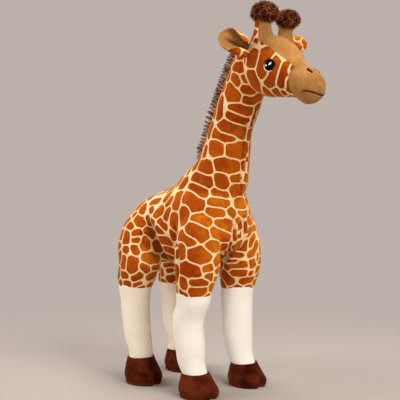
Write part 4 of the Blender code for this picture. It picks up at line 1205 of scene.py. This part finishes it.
MUZZLE_OUTLINE = [*spline(MUZZLE_SEAM_PX, 33), *MUZZLE_CORNERS_PX]
BLAZE_OUTLINE = [*spline(BLAZE_SEAM_PX, 53), *BLAZE_CORNERS_PX]
HORN_LEAN_SHARES = (0.08, 0.03)
HORN_MIDDLE = (NAPE[0] + HORN_PLACE_SHARES[0] * HEAD_LENGTH + HORN_LEAN_SHARES[0] * HORN_HEIGHT["right"],
               HORN_PLACE_SHARES[1] * HEAD_WIDTH / 2 + HORN_LEAN_SHARES[1] * HORN_HEIGHT["right"])
HORN_HALF = HORN_THICKNESS["right"] / 2
HORN_SEAM_SLOPE = 0.544
HORN_SEAM_BACK_SHARE = 0.38
# Grooves of the muzzle's seam: depth and width
SEAM_GROOVES = ((1.6 * MM, 4.5 * MM), (0.8 * MM, 1.3 * MM))
# Width of the painted shade along the tan seams
SEAM_SHADE = 1.2 * MM


def muzzle_side(points):
    """How far points lie ahead of the muzzle's seam."""
    return within(points, MUZZLE_OUTLINE)


def blaze_side(points):
    """How far points lie inside the tan panel, which ends at the seams beside the horns.

    A horn's seams lie on a plane that is turned, so that the tan covers more of its inner side.
    """
    aside = np.maximum(np.abs(points[:, 1]) - HORN_MIDDLE[1], -HORN_HALF)
    ahead = points[:, 0] - HORN_MIDDLE[0] - HORN_SEAM_SLOPE * aside + HORN_SEAM_BACK_SHARE * HORN_HALF
    return np.minimum(within(points, BLAZE_OUTLINE), ahead)


def snap_border(obj, inside, rounds=3):
    """Slides points of the faces that straddle a border onto it, along its gradient."""
    points = points_of(obj)
    edges = np.empty(len(obj.data.edges) * 2, np.int32)
    obj.data.edges.foreach_get("vertices", edges)
    a, b = edges.reshape(-1, 2).T
    value = inside(points)
    crossing = value[a] * value[b] < 0
    share = np.abs(value)
    nearer = np.where(share[a[crossing]] < share[b[crossing]], a[crossing], b[crossing])
    chosen = np.unique(nearer)
    step = 0.05 * MM
    for _ in range(rounds):
        p = points[chosen]
        v = inside(p)
        slope = np.stack([(inside(p + step * np.eye(3)[k]) - v) / step for k in range(3)], 1)
        points[chosen] = p - slope * (v / np.maximum((slope ** 2).sum(1), 1e-9))[:, None]
    move_points(obj, points)


def groove_along(obj, inside, depth, width):
    """Presses a seam's groove along a border, but not where tan plush lies on both sides."""
    points = points_of(obj)
    profile = bell(inside(points), width)
    profile *= np.clip(-within(points, BLAZE_OUTLINE) / (6 * MM), 0, 1)
    move_points(obj, points - normals_of(obj) * (depth * profile)[:, None])


def tan_side(points):
    """How far points lie inside the muzzle or the tan panel."""
    return np.maximum(muzzle_side(points), blaze_side(points))


for depth, width in SEAM_GROOVES:
    groove_along(HEAD, muzzle_side, depth, width)
snap_border(HEAD, muzzle_side)
snap_border(HEAD, tan_side)
MUZZLE = split(HEAD, "muzzle_skin", lambda c: muzzle_side(c) > 0)
BLAZE = split(HEAD, "blaze_skin", lambda c: blaze_side(c) > 0)
# The head's patches are painted darker than the body's, with painted shade along the tan seams
paint_patches(HEAD, PATCHES, 7, 0.86 - 0.25 * bell(tan_side(points_of(HEAD)), SEAM_SHADE))
# The muzzle is painted a little darker, with painted shade along its seam away from the tan panel
beside_panel = within(points_of(MUZZLE), BLAZE_OUTLINE) < -1 * MM
set_value(MUZZLE, "shade", 0.90 - 0.20 * bell(muzzle_side(points_of(MUZZLE)), SEAM_SHADE) * beside_panel)
# Painted shade: the tan is painted darker up the horns, where less light falls
up_horn = np.clip((points_of(BLAZE)[:, 2] - NAPE[2] - 14 * MM) / (12 * MM), 0, 1)
set_value(BLAZE, "shade", 1.0 - 0.22 * up_horn)
soft_piece(HEAD, PATCHED, "patched_plush", 0.8, "head", "head_cover", "head_filling")
soft_piece(MUZZLE, TAN_PLUSH, "tan_plush", 0.8, "head", "muzzle_cover")
soft_piece(BLAZE, TAN_PLUSH, "tan_plush", 0.8, "head", "blaze_panel", "right_horn_cover",
           "right_horn_filling", "left_horn_cover", "left_horn_filling")
HEAD_TREE = tree_of(HEAD, MUZZLE, BLAZE)


# Stockings, hooves and soles

# Rows of a sole's rim: height as a share of HOOF_HEIGHT, and share of the hoof's outline
SOLE_SHARES = [(0.1, 0.90), (0.085, 0.945), (0.05, 0.955), (0.02, 0.93), (0.0, 0.88)]
# Toes: heights as shares of HOOF_HEIGHT at which they start and over which they grow full, turns
# in radians of the cleft's width and the toes' middle and width, and shares of the hoof's length
TOE_TOP_SHARE = 0.70
TOE_RUN_SHARE = 0.45
CLEFT_TURN = 0.16
CLEFT_SHARE = 0.26
TOE_MIDDLE = 0.50
TOE_TURN = 0.3
TOE_SHARE = 0.06
SOLE_CLEFT_SHARE = 0.8


def seed_of(leg):
    """A seed of each leg's own: the sum of its letters' codes."""
    return sum(map(ord, leg))


def stocking(leg):
    """Level ovals down the leg's curve, drawn in a little, with the stuffing's lumps."""
    heights = np.linspace(STOCKING_TOP[leg] + STOCKING_OVERLAP, HOOF_HEIGHT[leg] - HOOF_OVERLAP, 60)
    found = by_height(leg_rows(leg), heights)
    found[:, 3:] -= STOCKING_EASE
    obj = mesh_object(leg + "_sock", *capped(level_rings(found, 64)))
    lumps(obj, STOCKING_LUMPS, seed_of(leg))
    cream = CREAM_PLUSH[leg.split("_")[0]]
    soft_piece(obj, cream, "cream_plush", 0.8, leg + "_leg", leg + "_stocking")


def hoof(leg):
    """Hoof with a cleft toe, over a flat sole whose rim is a seam.

    Each level is an oval; low down, a bell curve of the turn from straight ahead draws it in at
    the cleft, and another one to each side of it swells the toes.
    """
    pair, side = leg.split("_")
    centre = np.array([RUMP_X + HIP_SHARE[pair] * BODY_LENGTH + REACH[leg],
                       SIDES[side] * LEG_TRACK / 2])
    rows = spline(HOOF_SHARES, 36)
    turn = np.linspace(0, 2 * math.pi, 96, endpoint=False)
    forward = np.cos(turn)
    aside = np.abs(((turn + math.pi) % (2 * math.pi)) - math.pi)
    low = np.clip((TOE_TOP_SHARE - rows[:, 0]) / TOE_RUN_SHARE, 0, 1)[:, None]
    cleft = bell(aside, CLEFT_TURN) * low * CLEFT_SHARE
    toes = bell(aside - TOE_MIDDLE, TOE_TURN) * low * TOE_SHARE
    length = rows[:, 2, None] * HOOF_LENGTH / 2 * (1 - cleft + toes)
    width = rows[:, 3, None] * HOOF_WIDTH / 2
    x = centre[0] + rows[:, 1, None] * HOOF_LENGTH + length * forward
    y = centre[1] + width * np.sin(turn)
    z = rows[:, 0, None] * HOOF_HEIGHT[leg] + 0 * x
    obj = mesh_object(leg + "_hoof", *capped(np.stack([x, y, z], 2)))
    lumps(obj, HOOF_LUMPS, seed_of(leg) + 3)
    soft_piece(obj, HOOF_PLUSH, "hoof_plush", 0.8, leg + "_leg", leg + "_hoof_cover")
    height, share = np.array(SOLE_SHARES).T[:, :, None]
    rim = np.stack([centre[0] + share * HOOF_LENGTH / 2 * forward * (1 - SOLE_CLEFT_SHARE * cleft[-1]),
                    centre[1] + share * HOOF_WIDTH / 2 * np.sin(turn),
                    height * HOOF_HEIGHT[leg] + 0 * turn], 2)
    sole = mesh_object(leg + "_sole_pad", *capped(rim))
    soft_piece(sole, HOOF_PLUSH, "hoof_plush", 0.9, leg + "_leg", leg + "_sole")


for leg in REACH:
    stocking(leg)
    hoof(leg)


# Tufts of the horns

def strands(name, roots, directions, lengths, thickness, swing, winding, seed, rings=4, sides=3,
            light=1.0, least=0.35):
    """Fur as one mesh: each strand is a tapering tube round a helix; light scales its pale share.

    A strand's middle line runs from its root along its direction and swings round it, with a
    random phase, by the angle called winding; the swing grows over its first third.
    """
    random = np.random.default_rng(seed)
    count = len(roots)
    t = np.linspace(0, 1, rings)[None, :, None]
    any_way = unit(random.normal(size=(count, 3)))
    u = unit(np.cross(directions, any_way))
    v = np.cross(directions, u)
    phase = random.uniform(0, 2 * math.pi, count)[:, None, None]
    turns = phase + t * winding
    line = (roots[:, None] + directions[:, None] * lengths[:, None, None] * t
            + swing * np.minimum(3 * t, 1) * (u[:, None] * np.cos(turns) + v[:, None] * np.sin(turns)))
    around = np.linspace(0, 2 * math.pi, sides, endpoint=False)
    radius = thickness[:, None, None, None] * (1 - 0.75 * t[:, :, :, None])
    ring = (u[:, None, None] * np.cos(around)[None, None, :, None]
            + v[:, None, None] * np.sin(around)[None, None, :, None])
    tube = line[:, :, None] + ring * radius
    tips = line[:, -1] + directions * thickness[:, None]
    per = rings * sides + 1
    points = np.concatenate([tube.reshape(count, -1, 3), tips[:, None]], 1).reshape(-1, 3)
    quads = grid_faces(rings, sides, True)
    last = (rings - 1) * sides
    fan = np.array([[last + j, last + (j + 1) % sides, per - 1] for j in range(sides)])
    starts = np.arange(count)[:, None, None] * per
    faces = (quads[None] + starts).reshape(-1, 4).tolist() + (fan[None] + starts).reshape(-1, 3).tolist()
    obj = mesh_object(name, points, faces)
    along = np.concatenate([np.repeat(np.linspace(0, 1, rings), sides), [1.0]])
    shade = (random.uniform(least, 1.0, count) * light)[:, None]
    set_value(obj, "tip", (along[None] ** 1.3 * shade).ravel())
    return obj


def ball_directions(count, seed):
    """Directions spread evenly over a ball by the golden angle, slightly shaken."""
    k = np.arange(count) + 0.5
    z = 1 - 2 * k / count
    turn = k * math.pi * (3 - math.sqrt(5))
    flat = np.sqrt(1 - z * z)
    found = np.stack([flat * np.cos(turn), flat * np.sin(turn), z], 1)
    return unit(found + np.random.default_rng(seed).normal(scale=0.05, size=found.shape))


def fur_ball(name, centre, radii, count, length, seed):
    """A lumpy core, an oval ball swollen by noise of its direction, with curled strands on it."""
    radii = np.array(radii)
    way = ball_directions(count, seed)
    roots = centre + way * radii * ROOT_SHARE * (1 + LUMP_SHARE * noise(way, LUMP_SIZE, seed))[:, None]
    random = np.random.default_rng(seed)
    lean = unit(way / radii + STRAND_LEAN * random.normal(size=way.shape) / radii.mean())
    lengths = length * random.uniform(0.7, 1.2, count)
    thickness = np.full(count, TUFT_STRAND) * random.uniform(0.8, 1.3, count)
    locks = strands(name + "_locks", roots, lean, lengths, thickness, TUFT_SWING, TUFT_WINDING, seed, 8, 4)
    angle = np.linspace(0, math.pi, 20)[1:-1, None]
    turn = np.linspace(0, 2 * math.pi, 32, endpoint=False)
    direction = np.stack([np.sin(angle) * np.cos(turn), np.sin(angle) * np.sin(turn),
                          np.cos(angle) + 0 * turn], 2)
    swell = CORE_SHARE * (1 + LUMP_SHARE * noise(direction.reshape(-1, 3), LUMP_SIZE, seed))
    rings = centre + direction * radii * swell.reshape(direction.shape[:2])[:, :, None]
    core = mesh_object(name + "_core", *capped(rings))
    set_value(core, "tip", 0.15)
    return locks, core


TUFT_AHEAD = 3.0 * MM
TUFT_UP = 4.6 * MM
TUFT_STRANDS = 950
TUFT_PILE = 4.6 * MM
TUFT_STRAND = 0.75 * MM
TUFT_SWING = 1.2 * MM
TUFT_WINDING = 7.0
# Shares of a tuft's radii: its core, the strands' roots and its lumps
CORE_SHARE = 0.82
ROOT_SHARE = 0.78
LUMP_SHARE = 0.14
LUMP_SIZE = 0.5
STRAND_LEAN = 0.35

for side, sign in SIDES.items():
    top = horn_rows(side)[-1]
    centre = np.array([top[1] + TUFT_AHEAD, top[2], top[0] + TUFT_UP])
    radii = np.array([TUFT_WIDTH[side], TUFT_WIDTH[side], TUFT_HEIGHT[side]]) / 2
    locks, core = fur_ball(side + "_tuft", centre, radii, TUFT_STRANDS, TUFT_PILE, 30 + sign)
    soft_piece(locks, TUFT_FUR, "dark_fur", 0.7, "head")
    soft_piece(core, TUFT_FUR, "dark_fur", 0.7, "head", side + "_horn_tuft")


# Mane

MANE_START = 0.236
MANE_END = 0.955
MANE_RIDGES = 38
MANE_STRANDS = 7000
MANE_ROOT = 1.5 * MM
MANE_STRAND = 0.62 * MM
MANE_SWING = 0.4 * MM
MANE_WINDING = 3.0
# Ridges: how far they wander, their height in their middle and its fall, how far the strands
# gather to the middle, lean up the neck, spread aside and are shaken, and which are pale
RIDGE_WANDER = 0.15
RIDGE_TOP = 1.08
RIDGE_FALL = 1.5
RIDGE_GATHER = 0.95
MANE_LEAN = 0.10
MANE_SPREAD = 0.35
MANE_SHAKE = 0.05
MANE_LIGHT = ([0.25, 0.36], [0.12, 2.2])


def nape_line(share):
    """Middle of the neck at shares of the mane's length, with its ways back and up."""
    rows = neck_rows()
    at = (len(rows) - 1) * (MANE_START + share * (MANE_END - MANE_START))
    place = spline_at(rows, at)
    along = unit(spline_at(rows, at + 0.05)[:, :2] - place[:, :2])
    flat = 0 * along[:, 0]
    middle = np.column_stack([place[:, 0], flat, place[:, 1]])
    back = np.column_stack([-along[:, 1], flat, along[:, 0]])
    return middle, back, np.column_stack([along[:, 0], flat, along[:, 1]])


def mane():
    """Upright pile on a strip along the nape: strands that lean together in ridges.

    In each ridge the height falls with the square of the distance from its middle, to which the
    strands lean, and the strands between ridges are the pale ones.
    """
    stations = np.linspace(0, 1, 50)
    middles, backs, _ = nape_line(stations)
    reach = 2 * NECK_THICKNESS
    depths = [reach - SKIN_TREE.ray_cast(Vector(m + b * reach), Vector(-b))[3]
              for m, b in zip(middles, backs)]
    count = MANE_STRANDS
    random = np.random.default_rng(11)
    share = np.sort(random.uniform(0, 1, count))
    middle, back, up = nape_line(share)
    width = random.uniform(-1, 1, count) * MANE_THICKNESS / 2
    roots = middle + np.array([0, 1, 0]) * width[:, None]
    roots += back * (np.interp(share, stations, depths) - MANE_ROOT)[:, None]
    wander = noise(np.column_stack([share * 9, width / MM, 0 * share]), 1.0, 14)
    cell = share * MANE_RIDGES + RIDGE_WANDER * wander
    part = cell - np.floor(cell) - 0.5
    length = np.linalg.norm(middles[-1] - middles[0]) / MANE_RIDGES
    tall = (MANE_HEIGHT + MANE_ROOT) * (RIDGE_TOP - RIDGE_FALL * part ** 2)
    tall *= np.clip(np.minimum(share, 1 - share) * 12, 0.3, 1) ** 0.5 * random.uniform(0.92, 1.06, count)
    gather = -part * length * RIDGE_GATHER / tall
    lean = unit(back + up * (MANE_LEAN + gather)[:, None]
                + np.array([0, 1, 0]) * (width / MANE_THICKNESS)[:, None] * MANE_SPREAD
                + MANE_SHAKE * random.normal(size=roots.shape))
    thin = np.full(count, MANE_STRAND)
    light = np.interp(np.abs(part), *MANE_LIGHT)
    return strands("mane_pile", roots, lean, tall, thin, MANE_SWING, MANE_WINDING, 12, light=light,
                   least=0.75)


soft_piece(mane(), MANE_FUR, "mane_pile", 0.5, ("trunk", "head", *NECK_BEND), "mane")


# Ears: how deep the root sits in the head, how far an ear bows back and lies behind its joint,
# and how deep the fold down its middle is

EAR_ROOT = 3.0 * MM
EAR_BOW = 5.0 * MM
EAR_BEHIND = 3.0 * MM
EAR_FOLD = 4.5 * MM
EAR_ROWS = 60
EAR_COLUMNS = 36
# Along an ear, where its round tip starts, and its run; across it from the middle, where it turns
# and its run, and the width of its fold
EAR_TIP_SHARES = (0.74, 0.26)
EAR_TURN_SHARES = (0.32, 0.50)
EAR_FOLD_SHARE = 0.10


def mirrored_half(values, sign=1):
    """Values from the middle outwards, with their copies on the other side before them."""
    return np.hstack([sign * values[:, :0:-1], values])


def ear(side):
    """Three grids over a leaf whose edges fold forward: back, middle, front; and its painted shade, darker
    at the root and along the fold.

    Across the leaf its tangent turns by a smoothstep of the distance from the middle, times the
    edge's turn. Summing the turn's cosine and sine along the breadth gives the section, and a
    bell curve presses a fold down its middle. The tip's breadth ends as an ellipse.
    """
    along, front = (unit(np.array(way)) for way in EAR_WAYS[side])
    front = unit(front - along * (front @ along))
    across = np.cross(front, along) * -SIDES[side]
    t = 1 - (1 - np.linspace(0, 1, EAR_ROWS)) ** 1.7
    shares = spline_at(EAR_SHARES, np.interp(t, np.array(EAR_SHARES)[:, 0], np.arange(len(EAR_SHARES))))
    round_tip = np.sqrt(np.clip(1 - np.clip((t - EAR_TIP_SHARES[0]) / EAR_TIP_SHARES[1], 0, 1) ** 2,
                                0.0004, 1))
    half = shares[:, 1] * EAR_WIDTH[side] / 2 * round_tip
    s = np.linspace(0, 1, EAR_COLUMNS)
    ease = np.clip((s - EAR_TURN_SHARES[0]) / EAR_TURN_SHARES[1], 0, 1)
    angle = np.radians(shares[:, 2, None]) * ease * ease * (3 - 2 * ease)
    middle_angle = (angle[:, 1:] + angle[:, :-1]) / 2
    run = half[:, None] / (EAR_COLUMNS - 1)
    start = np.zeros((len(t), 1))
    aside = np.hstack([start, np.cumsum(np.cos(middle_angle) * run, axis=1)])
    depth = np.hstack([start, np.cumsum(np.sin(middle_angle) * run, axis=1)])
    fold = shares[:, 3, None] * bell(s, EAR_FOLD_SHARE)
    aside = mirrored_half(aside, -1)
    depth = mirrored_half(depth - EAR_FOLD * fold)
    angle = mirrored_half(angle, -1)
    fold = mirrored_half(fold)
    v = mirrored_half(s[None])[0]
    root = PLACES[side + "_ear_flap"] - along * EAR_ROOT
    spine = (along * (t * (EAR_LENGTH[side] + EAR_ROOT))[:, None]
             - front * (EAR_BOW * t ** 2 + EAR_BEHIND)[:, None])
    thick = EAR_LAYER * np.sqrt(1 - 0.98 * v ** 8) * np.sqrt(1 - 0.98 * t ** 12)[:, None]
    sheets = []
    for offset in (-1, 0, 1):
        x = aside - np.sin(angle) * thick * offset
        y = depth + np.cos(angle) * thick * offset
        sheets.append(root + spine[:, None] + x[:, :, None] * across + y[:, :, None] * front)
    # Painted shade: darker near the root and down the fold
    shade = 1.0 - 0.30 * np.exp(-t / 0.16)[:, None] - 0.55 * fold
    return sheets, np.tile(np.clip(shade, 0.25, 1).ravel(), 2)


def leaf_piece(name, low, high):
    """A thin closed piece between two grids of points."""
    rows, columns = low.shape[:2]
    size = rows * columns
    quads = grid_faces(rows, columns, False)
    faces = quads.tolist() + (quads[:, ::-1] + size).tolist()
    rim = list(range(columns)) + [i * columns + columns - 1 for i in range(1, rows)]
    rim += [(rows - 1) * columns + j for j in range(columns - 2, -1, -1)]
    rim += [i * columns for i in range(rows - 2, 0, -1)]
    faces += [[b, a, a + size, b + size] for a, b in zip(rim, rim[1:] + rim[:1])]
    points = np.vstack([low.reshape(-1, 3), high.reshape(-1, 3)])
    return mesh_object(name, points, outward(points, faces))


for side, sign in SIDES.items():
    (back_sheet, middle, front_sheet), shade = ear(side)
    outer = leaf_piece(side + "_ear_skin", back_sheet, middle)
    lining = leaf_piece(side + "_ear_inside", middle, front_sheet)
    points, normals = points_of(outer), normals_of(outer)
    spacing = np.full(len(points), EAR_SPACING)
    ear_patches = filled(np.zeros((0, 8)), points, normals, spacing, 0 * points + (0, sign, 0), 40 + sign)
    # The back takes a milder painted shade, lifted by 0.15
    paint_patches(outer, ear_patches, 8, np.maximum(shade, 0.6) + 0.15)
    set_value(lining, "shade", shade)
    soft_piece(outer, PATCHED, "patched_plush", 0.3, side + "_ear", side + "_ear_outer")
    soft_piece(lining, TAN_PLUSH, "tan_plush", 0.3, side + "_ear", side + "_ear_lining")


# Tail: its middle line behind, to the right of and below its joint, as shares of TAIL_LENGTH

TAIL_SHARES = [(0.0, 0.0, 0.0), (0.09, 0.01, 0.17), (0.165, 0.05, 0.42), (0.225, 0.09, 0.68),
               (0.255, 0.11, 0.92)]
TAIL_STRANDS = 700
TAIL_STRAND = 0.5 * MM
TAIL_SWING = 0.9 * MM


def tail():
    """A round tube along a curve, and a tuft whose strands leave the tube's end and its sides."""
    path = PLACES["tail_swing"] + spline(TAIL_SHARES, 40) * -TAIL_LENGTH
    sizes = TAIL_THICKNESS / 2 * np.ones(40)
    sizes[:2] *= (0.4, 0.8)
    rings, along, side, other = round_rings(path, sizes, (0, 1, 0), 24)
    cord = mesh_object("tail_skin", *capped(rings))
    points = points_of(cord)
    patches = filled(np.zeros((0, 8)), points, normals_of(cord), np.full(len(points), TAIL_SPACING),
                     0 * points + (0, 0, 1), 50)
    paint_patches(cord, patches, 9)
    soft_piece(cord, PATCHED, "patched_plush", 0.6, "tail", "tail_cord")

    end = path[-1]
    way = along[-1]
    count = TAIL_STRANDS
    random = np.random.default_rng(51)
    t = random.uniform(0, 0.48, count)
    ring = random.uniform(0, 2 * math.pi, count)
    out = side[-1] * np.cos(ring)[:, None] + other[-1] * np.sin(ring)[:, None]
    roots = (end + way * ((t - 0.25) * TAIL_TUFT_LENGTH)[:, None]
             + out * (TAIL_THICKNESS / 2 * 0.8 * (1 - t * 0.6))[:, None])
    lean = unit(way + out * 0.18 + 0.08 * random.normal(size=roots.shape))
    lengths = TAIL_TUFT_LENGTH * 0.42 * random.uniform(0.8, 1.15, count)
    thick = np.full(count, TAIL_STRAND)
    tuft = strands("tail_locks", roots, lean, lengths, thick, TAIL_SWING, 4.0, 52, rings=6)
    soft_piece(tuft, TUFT_FUR, "dark_fur", 0.6, "tail", "tail_tuft")


tail()


# Eyes, mouth and nostrils

EYE_PX = (269.2, 65.4)
MOUTH_PX = [(301.2, 90.9), (304.5, 90.8), (307.5, 91.1), (311.0, 91.7), (314.5, 92.6), (318.0, 93.8),
            (321.0, 94.9), (323.2, 95.4)]
NOSTRIL_PX = [(307.2, 69.2), (309.0, 69.8), (311.0, 71.2), (313.4, 72.6)]
NOSTRIL_FOLD_PX = [(305.5, 67.6), (309.5, 67.4), (314.0, 70.6), (319.5, 75.4)]
# From how far outside the cheek an eye's points drop, and how far its edge sinks into the plush
EYE_DROP = 12 * MM
EYE_EDGE_SINK = 0.3 * MM
MOUTH_GAP = 3 * MM
MOUTH_RADIUS = 0.62 * MM
NOSTRIL_RADIUS = 1.9 * MM
NOSTRIL_INSET = 0.8 * MM
# Creases of the face: depth, less than zero where the plush stands out, and width
MOUTH_CREASE = (0.8 * MM, 1.6 * MM)
NOSTRIL_CREASE = (1.8 * MM, 2.0 * MM)
NOSTRIL_BANK = (-0.9 * MM, 1.6 * MM)


def surface_frame(sign):
    """Middle of an eye on the cheek, with its level, upward and outward directions."""
    centre, normal = seen(HEAD_TREE, *EYE_PX)
    normal = unit(normal)
    up = unit(np.array([0, 0, 1.0]) - normal * normal[2])
    ahead = np.cross(up, normal)
    if ahead[0] < 0:
        ahead = -ahead
    flip = np.array([1, -sign, 1])
    return centre * flip, ahead * flip, up * flip, normal * flip


def stitched(name, sign, middle, radii, tilt, lift, dome, arc):
    """An embroidered oval that follows the cheek and domes over it; sizes in millimetres.

    With an arc, only the part of a ring between two angles and two shares of the radius. Points
    of a flat oval drop along the cheek's normal onto the head, and rise by lift and dome.
    """
    middle, radii, lift, dome = (np.array(value) * MM for value in (middle, radii, lift, dome))
    centre, ahead, up, normal = surface_frame(sign)
    if arc is None:
        rho = np.linspace(0.02, 1, 10)[:, None]
        turn = np.linspace(0, 2 * math.pi, 40, endpoint=False)[None]
    else:
        low, high, inner, outer = arc
        rho = np.linspace(inner, outer, 6)[:, None]
        turn = np.radians(np.linspace(low, high, 40))[None]
    a = rho * radii[0] * np.cos(turn)
    b = rho * radii[1] * np.sin(turn)
    c, s = math.cos(math.radians(tilt)), math.sin(math.radians(tilt))
    flat = (centre + ahead * (middle[0] + a * c - b * s)[:, :, None]
            + up * (middle[1] + a * s + b * c)[:, :, None])
    flat = flat.reshape(-1, 3)
    hits = [HEAD_TREE.ray_cast(Vector(start), Vector(-normal))[0] for start in flat + normal * EYE_DROP]
    points = np.array([point if hit is None else hit for point, hit in zip(flat, hits)])
    share = (rho if arc is None else np.abs(rho - (inner + outer) / 2) / ((outer - inner) / 2)) + 0 * turn
    rise = lift + dome * (1 - share.reshape(-1) ** 2)
    rise[share.reshape(-1) > 0.97] -= lift + EYE_EDGE_SINK
    points += normal * rise[:, None]
    columns = turn.shape[1]
    faces = grid_faces(len(rho), columns, arc is None).tolist()
    if arc is None:
        faces.append(list(range(columns))[::-1])
    obj = mesh_object(name, points, faces)
    work = bmesh.new()
    work.from_mesh(obj.data)
    for face in work.faces:
        if face.normal @ Vector(normal) < 0:
            face.normal_flip()
    work.to_mesh(obj.data)
    work.free()
    return obj


# Layers of an eye: middle and radii in mm, tilt in degrees, lift and dome in mm, arc, thread
EYE_LAYERS = [
    ("white", (-0.8, -0.9), (6.8, 7.1), 0, 0.35, 0.5, None, EYE_WHITE),
    ("iris", (0.0, -0.2), (6.7, 7.0), 0, 0.6, 0.6, None, EYE_BROWN),
    ("pupil", (0.2, 0.5), (6.4, 6.6), 0, 0.8, 0.65, None, EYE_BLACK),
    ("glint", (1.3, 1.9), (1.15, 2.5), -48, 1.45, 0.3, None, EYE_WHITE),
    ("spark", (-3.7, -0.1), (1.2, 1.2), 0, 1.3, 0.3, None, EYE_WHITE),
    ("lid", (0.1, 0.2), (7.2, 7.5), 0, 0.9, 0.5, (-5, 165, 0.90, 1.06), LID_THREAD),
]


def eye(side):
    """Embroidered layers, each over the last."""
    for name, middle, radii, tilt, lift, dome, arc, material in EYE_LAYERS:
        piece = stitched(side + "_eye_" + name, SIDES[side], middle, radii, tilt, lift, dome, arc)
        dress(piece, material)
        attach(piece, "head")
        if name == "white":
            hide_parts(side + "_eye")


for side in SIDES:
    eye(side)


def thread(name, line, radius, end=1.0):
    """A stitched line: a round cord, sunk by half into the plush; end is its last share."""
    line = spline(line, 6 * len(line))
    size = radius * np.sqrt(np.clip(1 - np.linspace(-1, 1, len(line)) ** 8, 0.05, 1))
    size *= np.linspace(1, end, len(line))
    rings = round_rings(line, size, (0.3, 0.2, 1.0), 10)[0]
    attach(dress(mesh_object(name, *capped(rings)), MOUTH_THREAD), "head")


half_mouth = line_seen(HEAD_TREE, MOUTH_PX)
beyond = half_mouth[-1, 1] + MOUTH_GAP
whole = np.vstack([half_mouth, (half_mouth[-half_mouth[:, 1] > beyond] * (1, -1, 1))[::-1]])
crease(MUZZLE, whole, *MOUTH_CREASE)
thread("mouth_line", whole, MOUTH_RADIUS)
nostril = line_seen(HEAD_TREE, NOSTRIL_PX)
fold = line_seen(HEAD_TREE, NOSTRIL_FOLD_PX)
for mirror, name in zip(MIRRORS, ("right_nostril", "left_nostril")):
    crease(MUZZLE, nostril * mirror, *NOSTRIL_CREASE)
    crease(MUZZLE, fold * mirror, *NOSTRIL_BANK)
    inset = nostril * mirror - NOSTRIL_INSET * unit(nostril[1] - NAPE) * (1, 0, 1)
    thread(name, inset, NOSTRIL_RADIUS, 0.45)


# Floor, light and camera

BACKDROP = (0.500, 0.440, 0.405)
FLOOR_SHARE = 0.80
# Distances between which the lit floor gives way to the even backdrop
SHADOW_REACH = (0.30, 0.75)
FLOOR_REACH = 2.2
FLOOR_CURVE = 0.9
WALL_TOP = 4.0
WORLD_TONE = (1.0, 0.98, 0.96)
WORLD_STRENGTH = 0.50
LAMP_TARGET = (-0.01, 0, 0.24)
# Name, place and size in metres, power in watts, and tone
LAMPS = [
    ("front", (1.5, -0.15, 1.35), 1.0, 27.5, (1.0, 0.97, 0.93)),
    ("rear", (-1.25, -1.15, 1.2), 1.0, 20.0, (1.0, 0.98, 0.95)),
    ("near", (0.9, -1.5, 0.9), 1.2, 9.0, (1.0, 0.98, 0.96)),
    ("top", (-0.1, 0.2, 1.8), 1.0, 19.0, (1.0, 0.98, 0.95)),
]


def stage_finish():
    """Lit floor near the giraffe, which keeps its shadow, and an even backdrop further out."""
    material, tree, shader, place = finish("pale_floor", 0.95, 0.0)
    shader.inputs["Base Color"].default_value = colour(shade_of(BACKDROP, FLOOR_SHARE))
    far = node(tree, "ShaderNodeVectorMath", {0: place}, operation="LENGTH").outputs["Value"]
    plain = node(tree, "ShaderNodeEmission", {"Color": colour(BACKDROP)})
    seen_far = sum_of(tree, ranged(tree, far, *SHADOW_REACH),
                      node(tree, "ShaderNodeLightPath").outputs["Is Camera Ray"], "MULTIPLY")
    blend = node(tree, "ShaderNodeMixShader", {0: seen_far, 1: shader.outputs[0], 2: plain.outputs[0]})
    tree.links.new(blend.outputs[0], tree.nodes["Material Output"].inputs["Surface"])
    return material


def sweep():
    """Floor that curves up into a wall, far from the giraffe on all sides: a turned profile."""
    turn = np.linspace(0, math.pi / 2, 24)
    out = np.append(FLOOR_REACH + FLOOR_CURVE * np.sin(turn), FLOOR_REACH + FLOOR_CURVE)[:, None]
    up = np.append(FLOOR_CURVE * (1 - np.cos(turn)), WALL_TOP)[:, None]
    around = np.linspace(0, 2 * math.pi, 96, endpoint=False)
    rings = np.stack([out * np.cos(around), out * np.sin(around), up + 0 * around], 2)
    points = np.vstack([rings.reshape(-1, 3), [[0, 0, 0]]])
    j = np.arange(len(around))
    fan = np.stack([(j + 1) % len(j), j, 0 * j + len(points) - 1], 1)
    faces = grid_faces(len(rings), len(j), True).tolist() + fan.tolist()
    obj = mesh_object("floor", points, faces)
    obj.data.materials.append(stage_finish())


def lamp(name, place, size, power, tone):
    """A soft round lamp that points at the giraffe's middle."""
    light = bpy.data.lights.new(name, "AREA")
    light.shape = "DISK"
    light.size = size
    light.energy = power
    light.color = tone
    obj = bpy.data.objects.new(name, light)
    obj.location = place
    obj.rotation_mode = "QUATERNION"
    obj.rotation_quaternion = (Vector(LAMP_TARGET) - obj.location).to_track_quat("-Z", "Y")
    bpy.context.scene.collection.objects.link(obj)


sweep()
for row in LAMPS:
    lamp(*row)

world = bpy.data.worlds.new("studio")
world.use_nodes = True
background = world.node_tree.nodes["Background"]
background.inputs["Color"].default_value = colour(WORLD_TONE)
background.inputs["Strength"].default_value = WORLD_STRENGTH
scene = bpy.context.scene
scene.world = world
scene.view_settings.view_transform = "Standard"

camera = bpy.data.objects.new("camera", bpy.data.cameras.new("camera"))
camera.data.sensor_width = SENSOR
camera.data.lens = FOCAL_PX / FRAME_PX * SENSOR
camera.location = CAMERA
camera.rotation_mode = "QUATERNION"
camera.rotation_quaternion = Vector(FORWARD).to_track_quat("-Z", "Y")
scene.collection.objects.link(camera)
scene.camera = camera
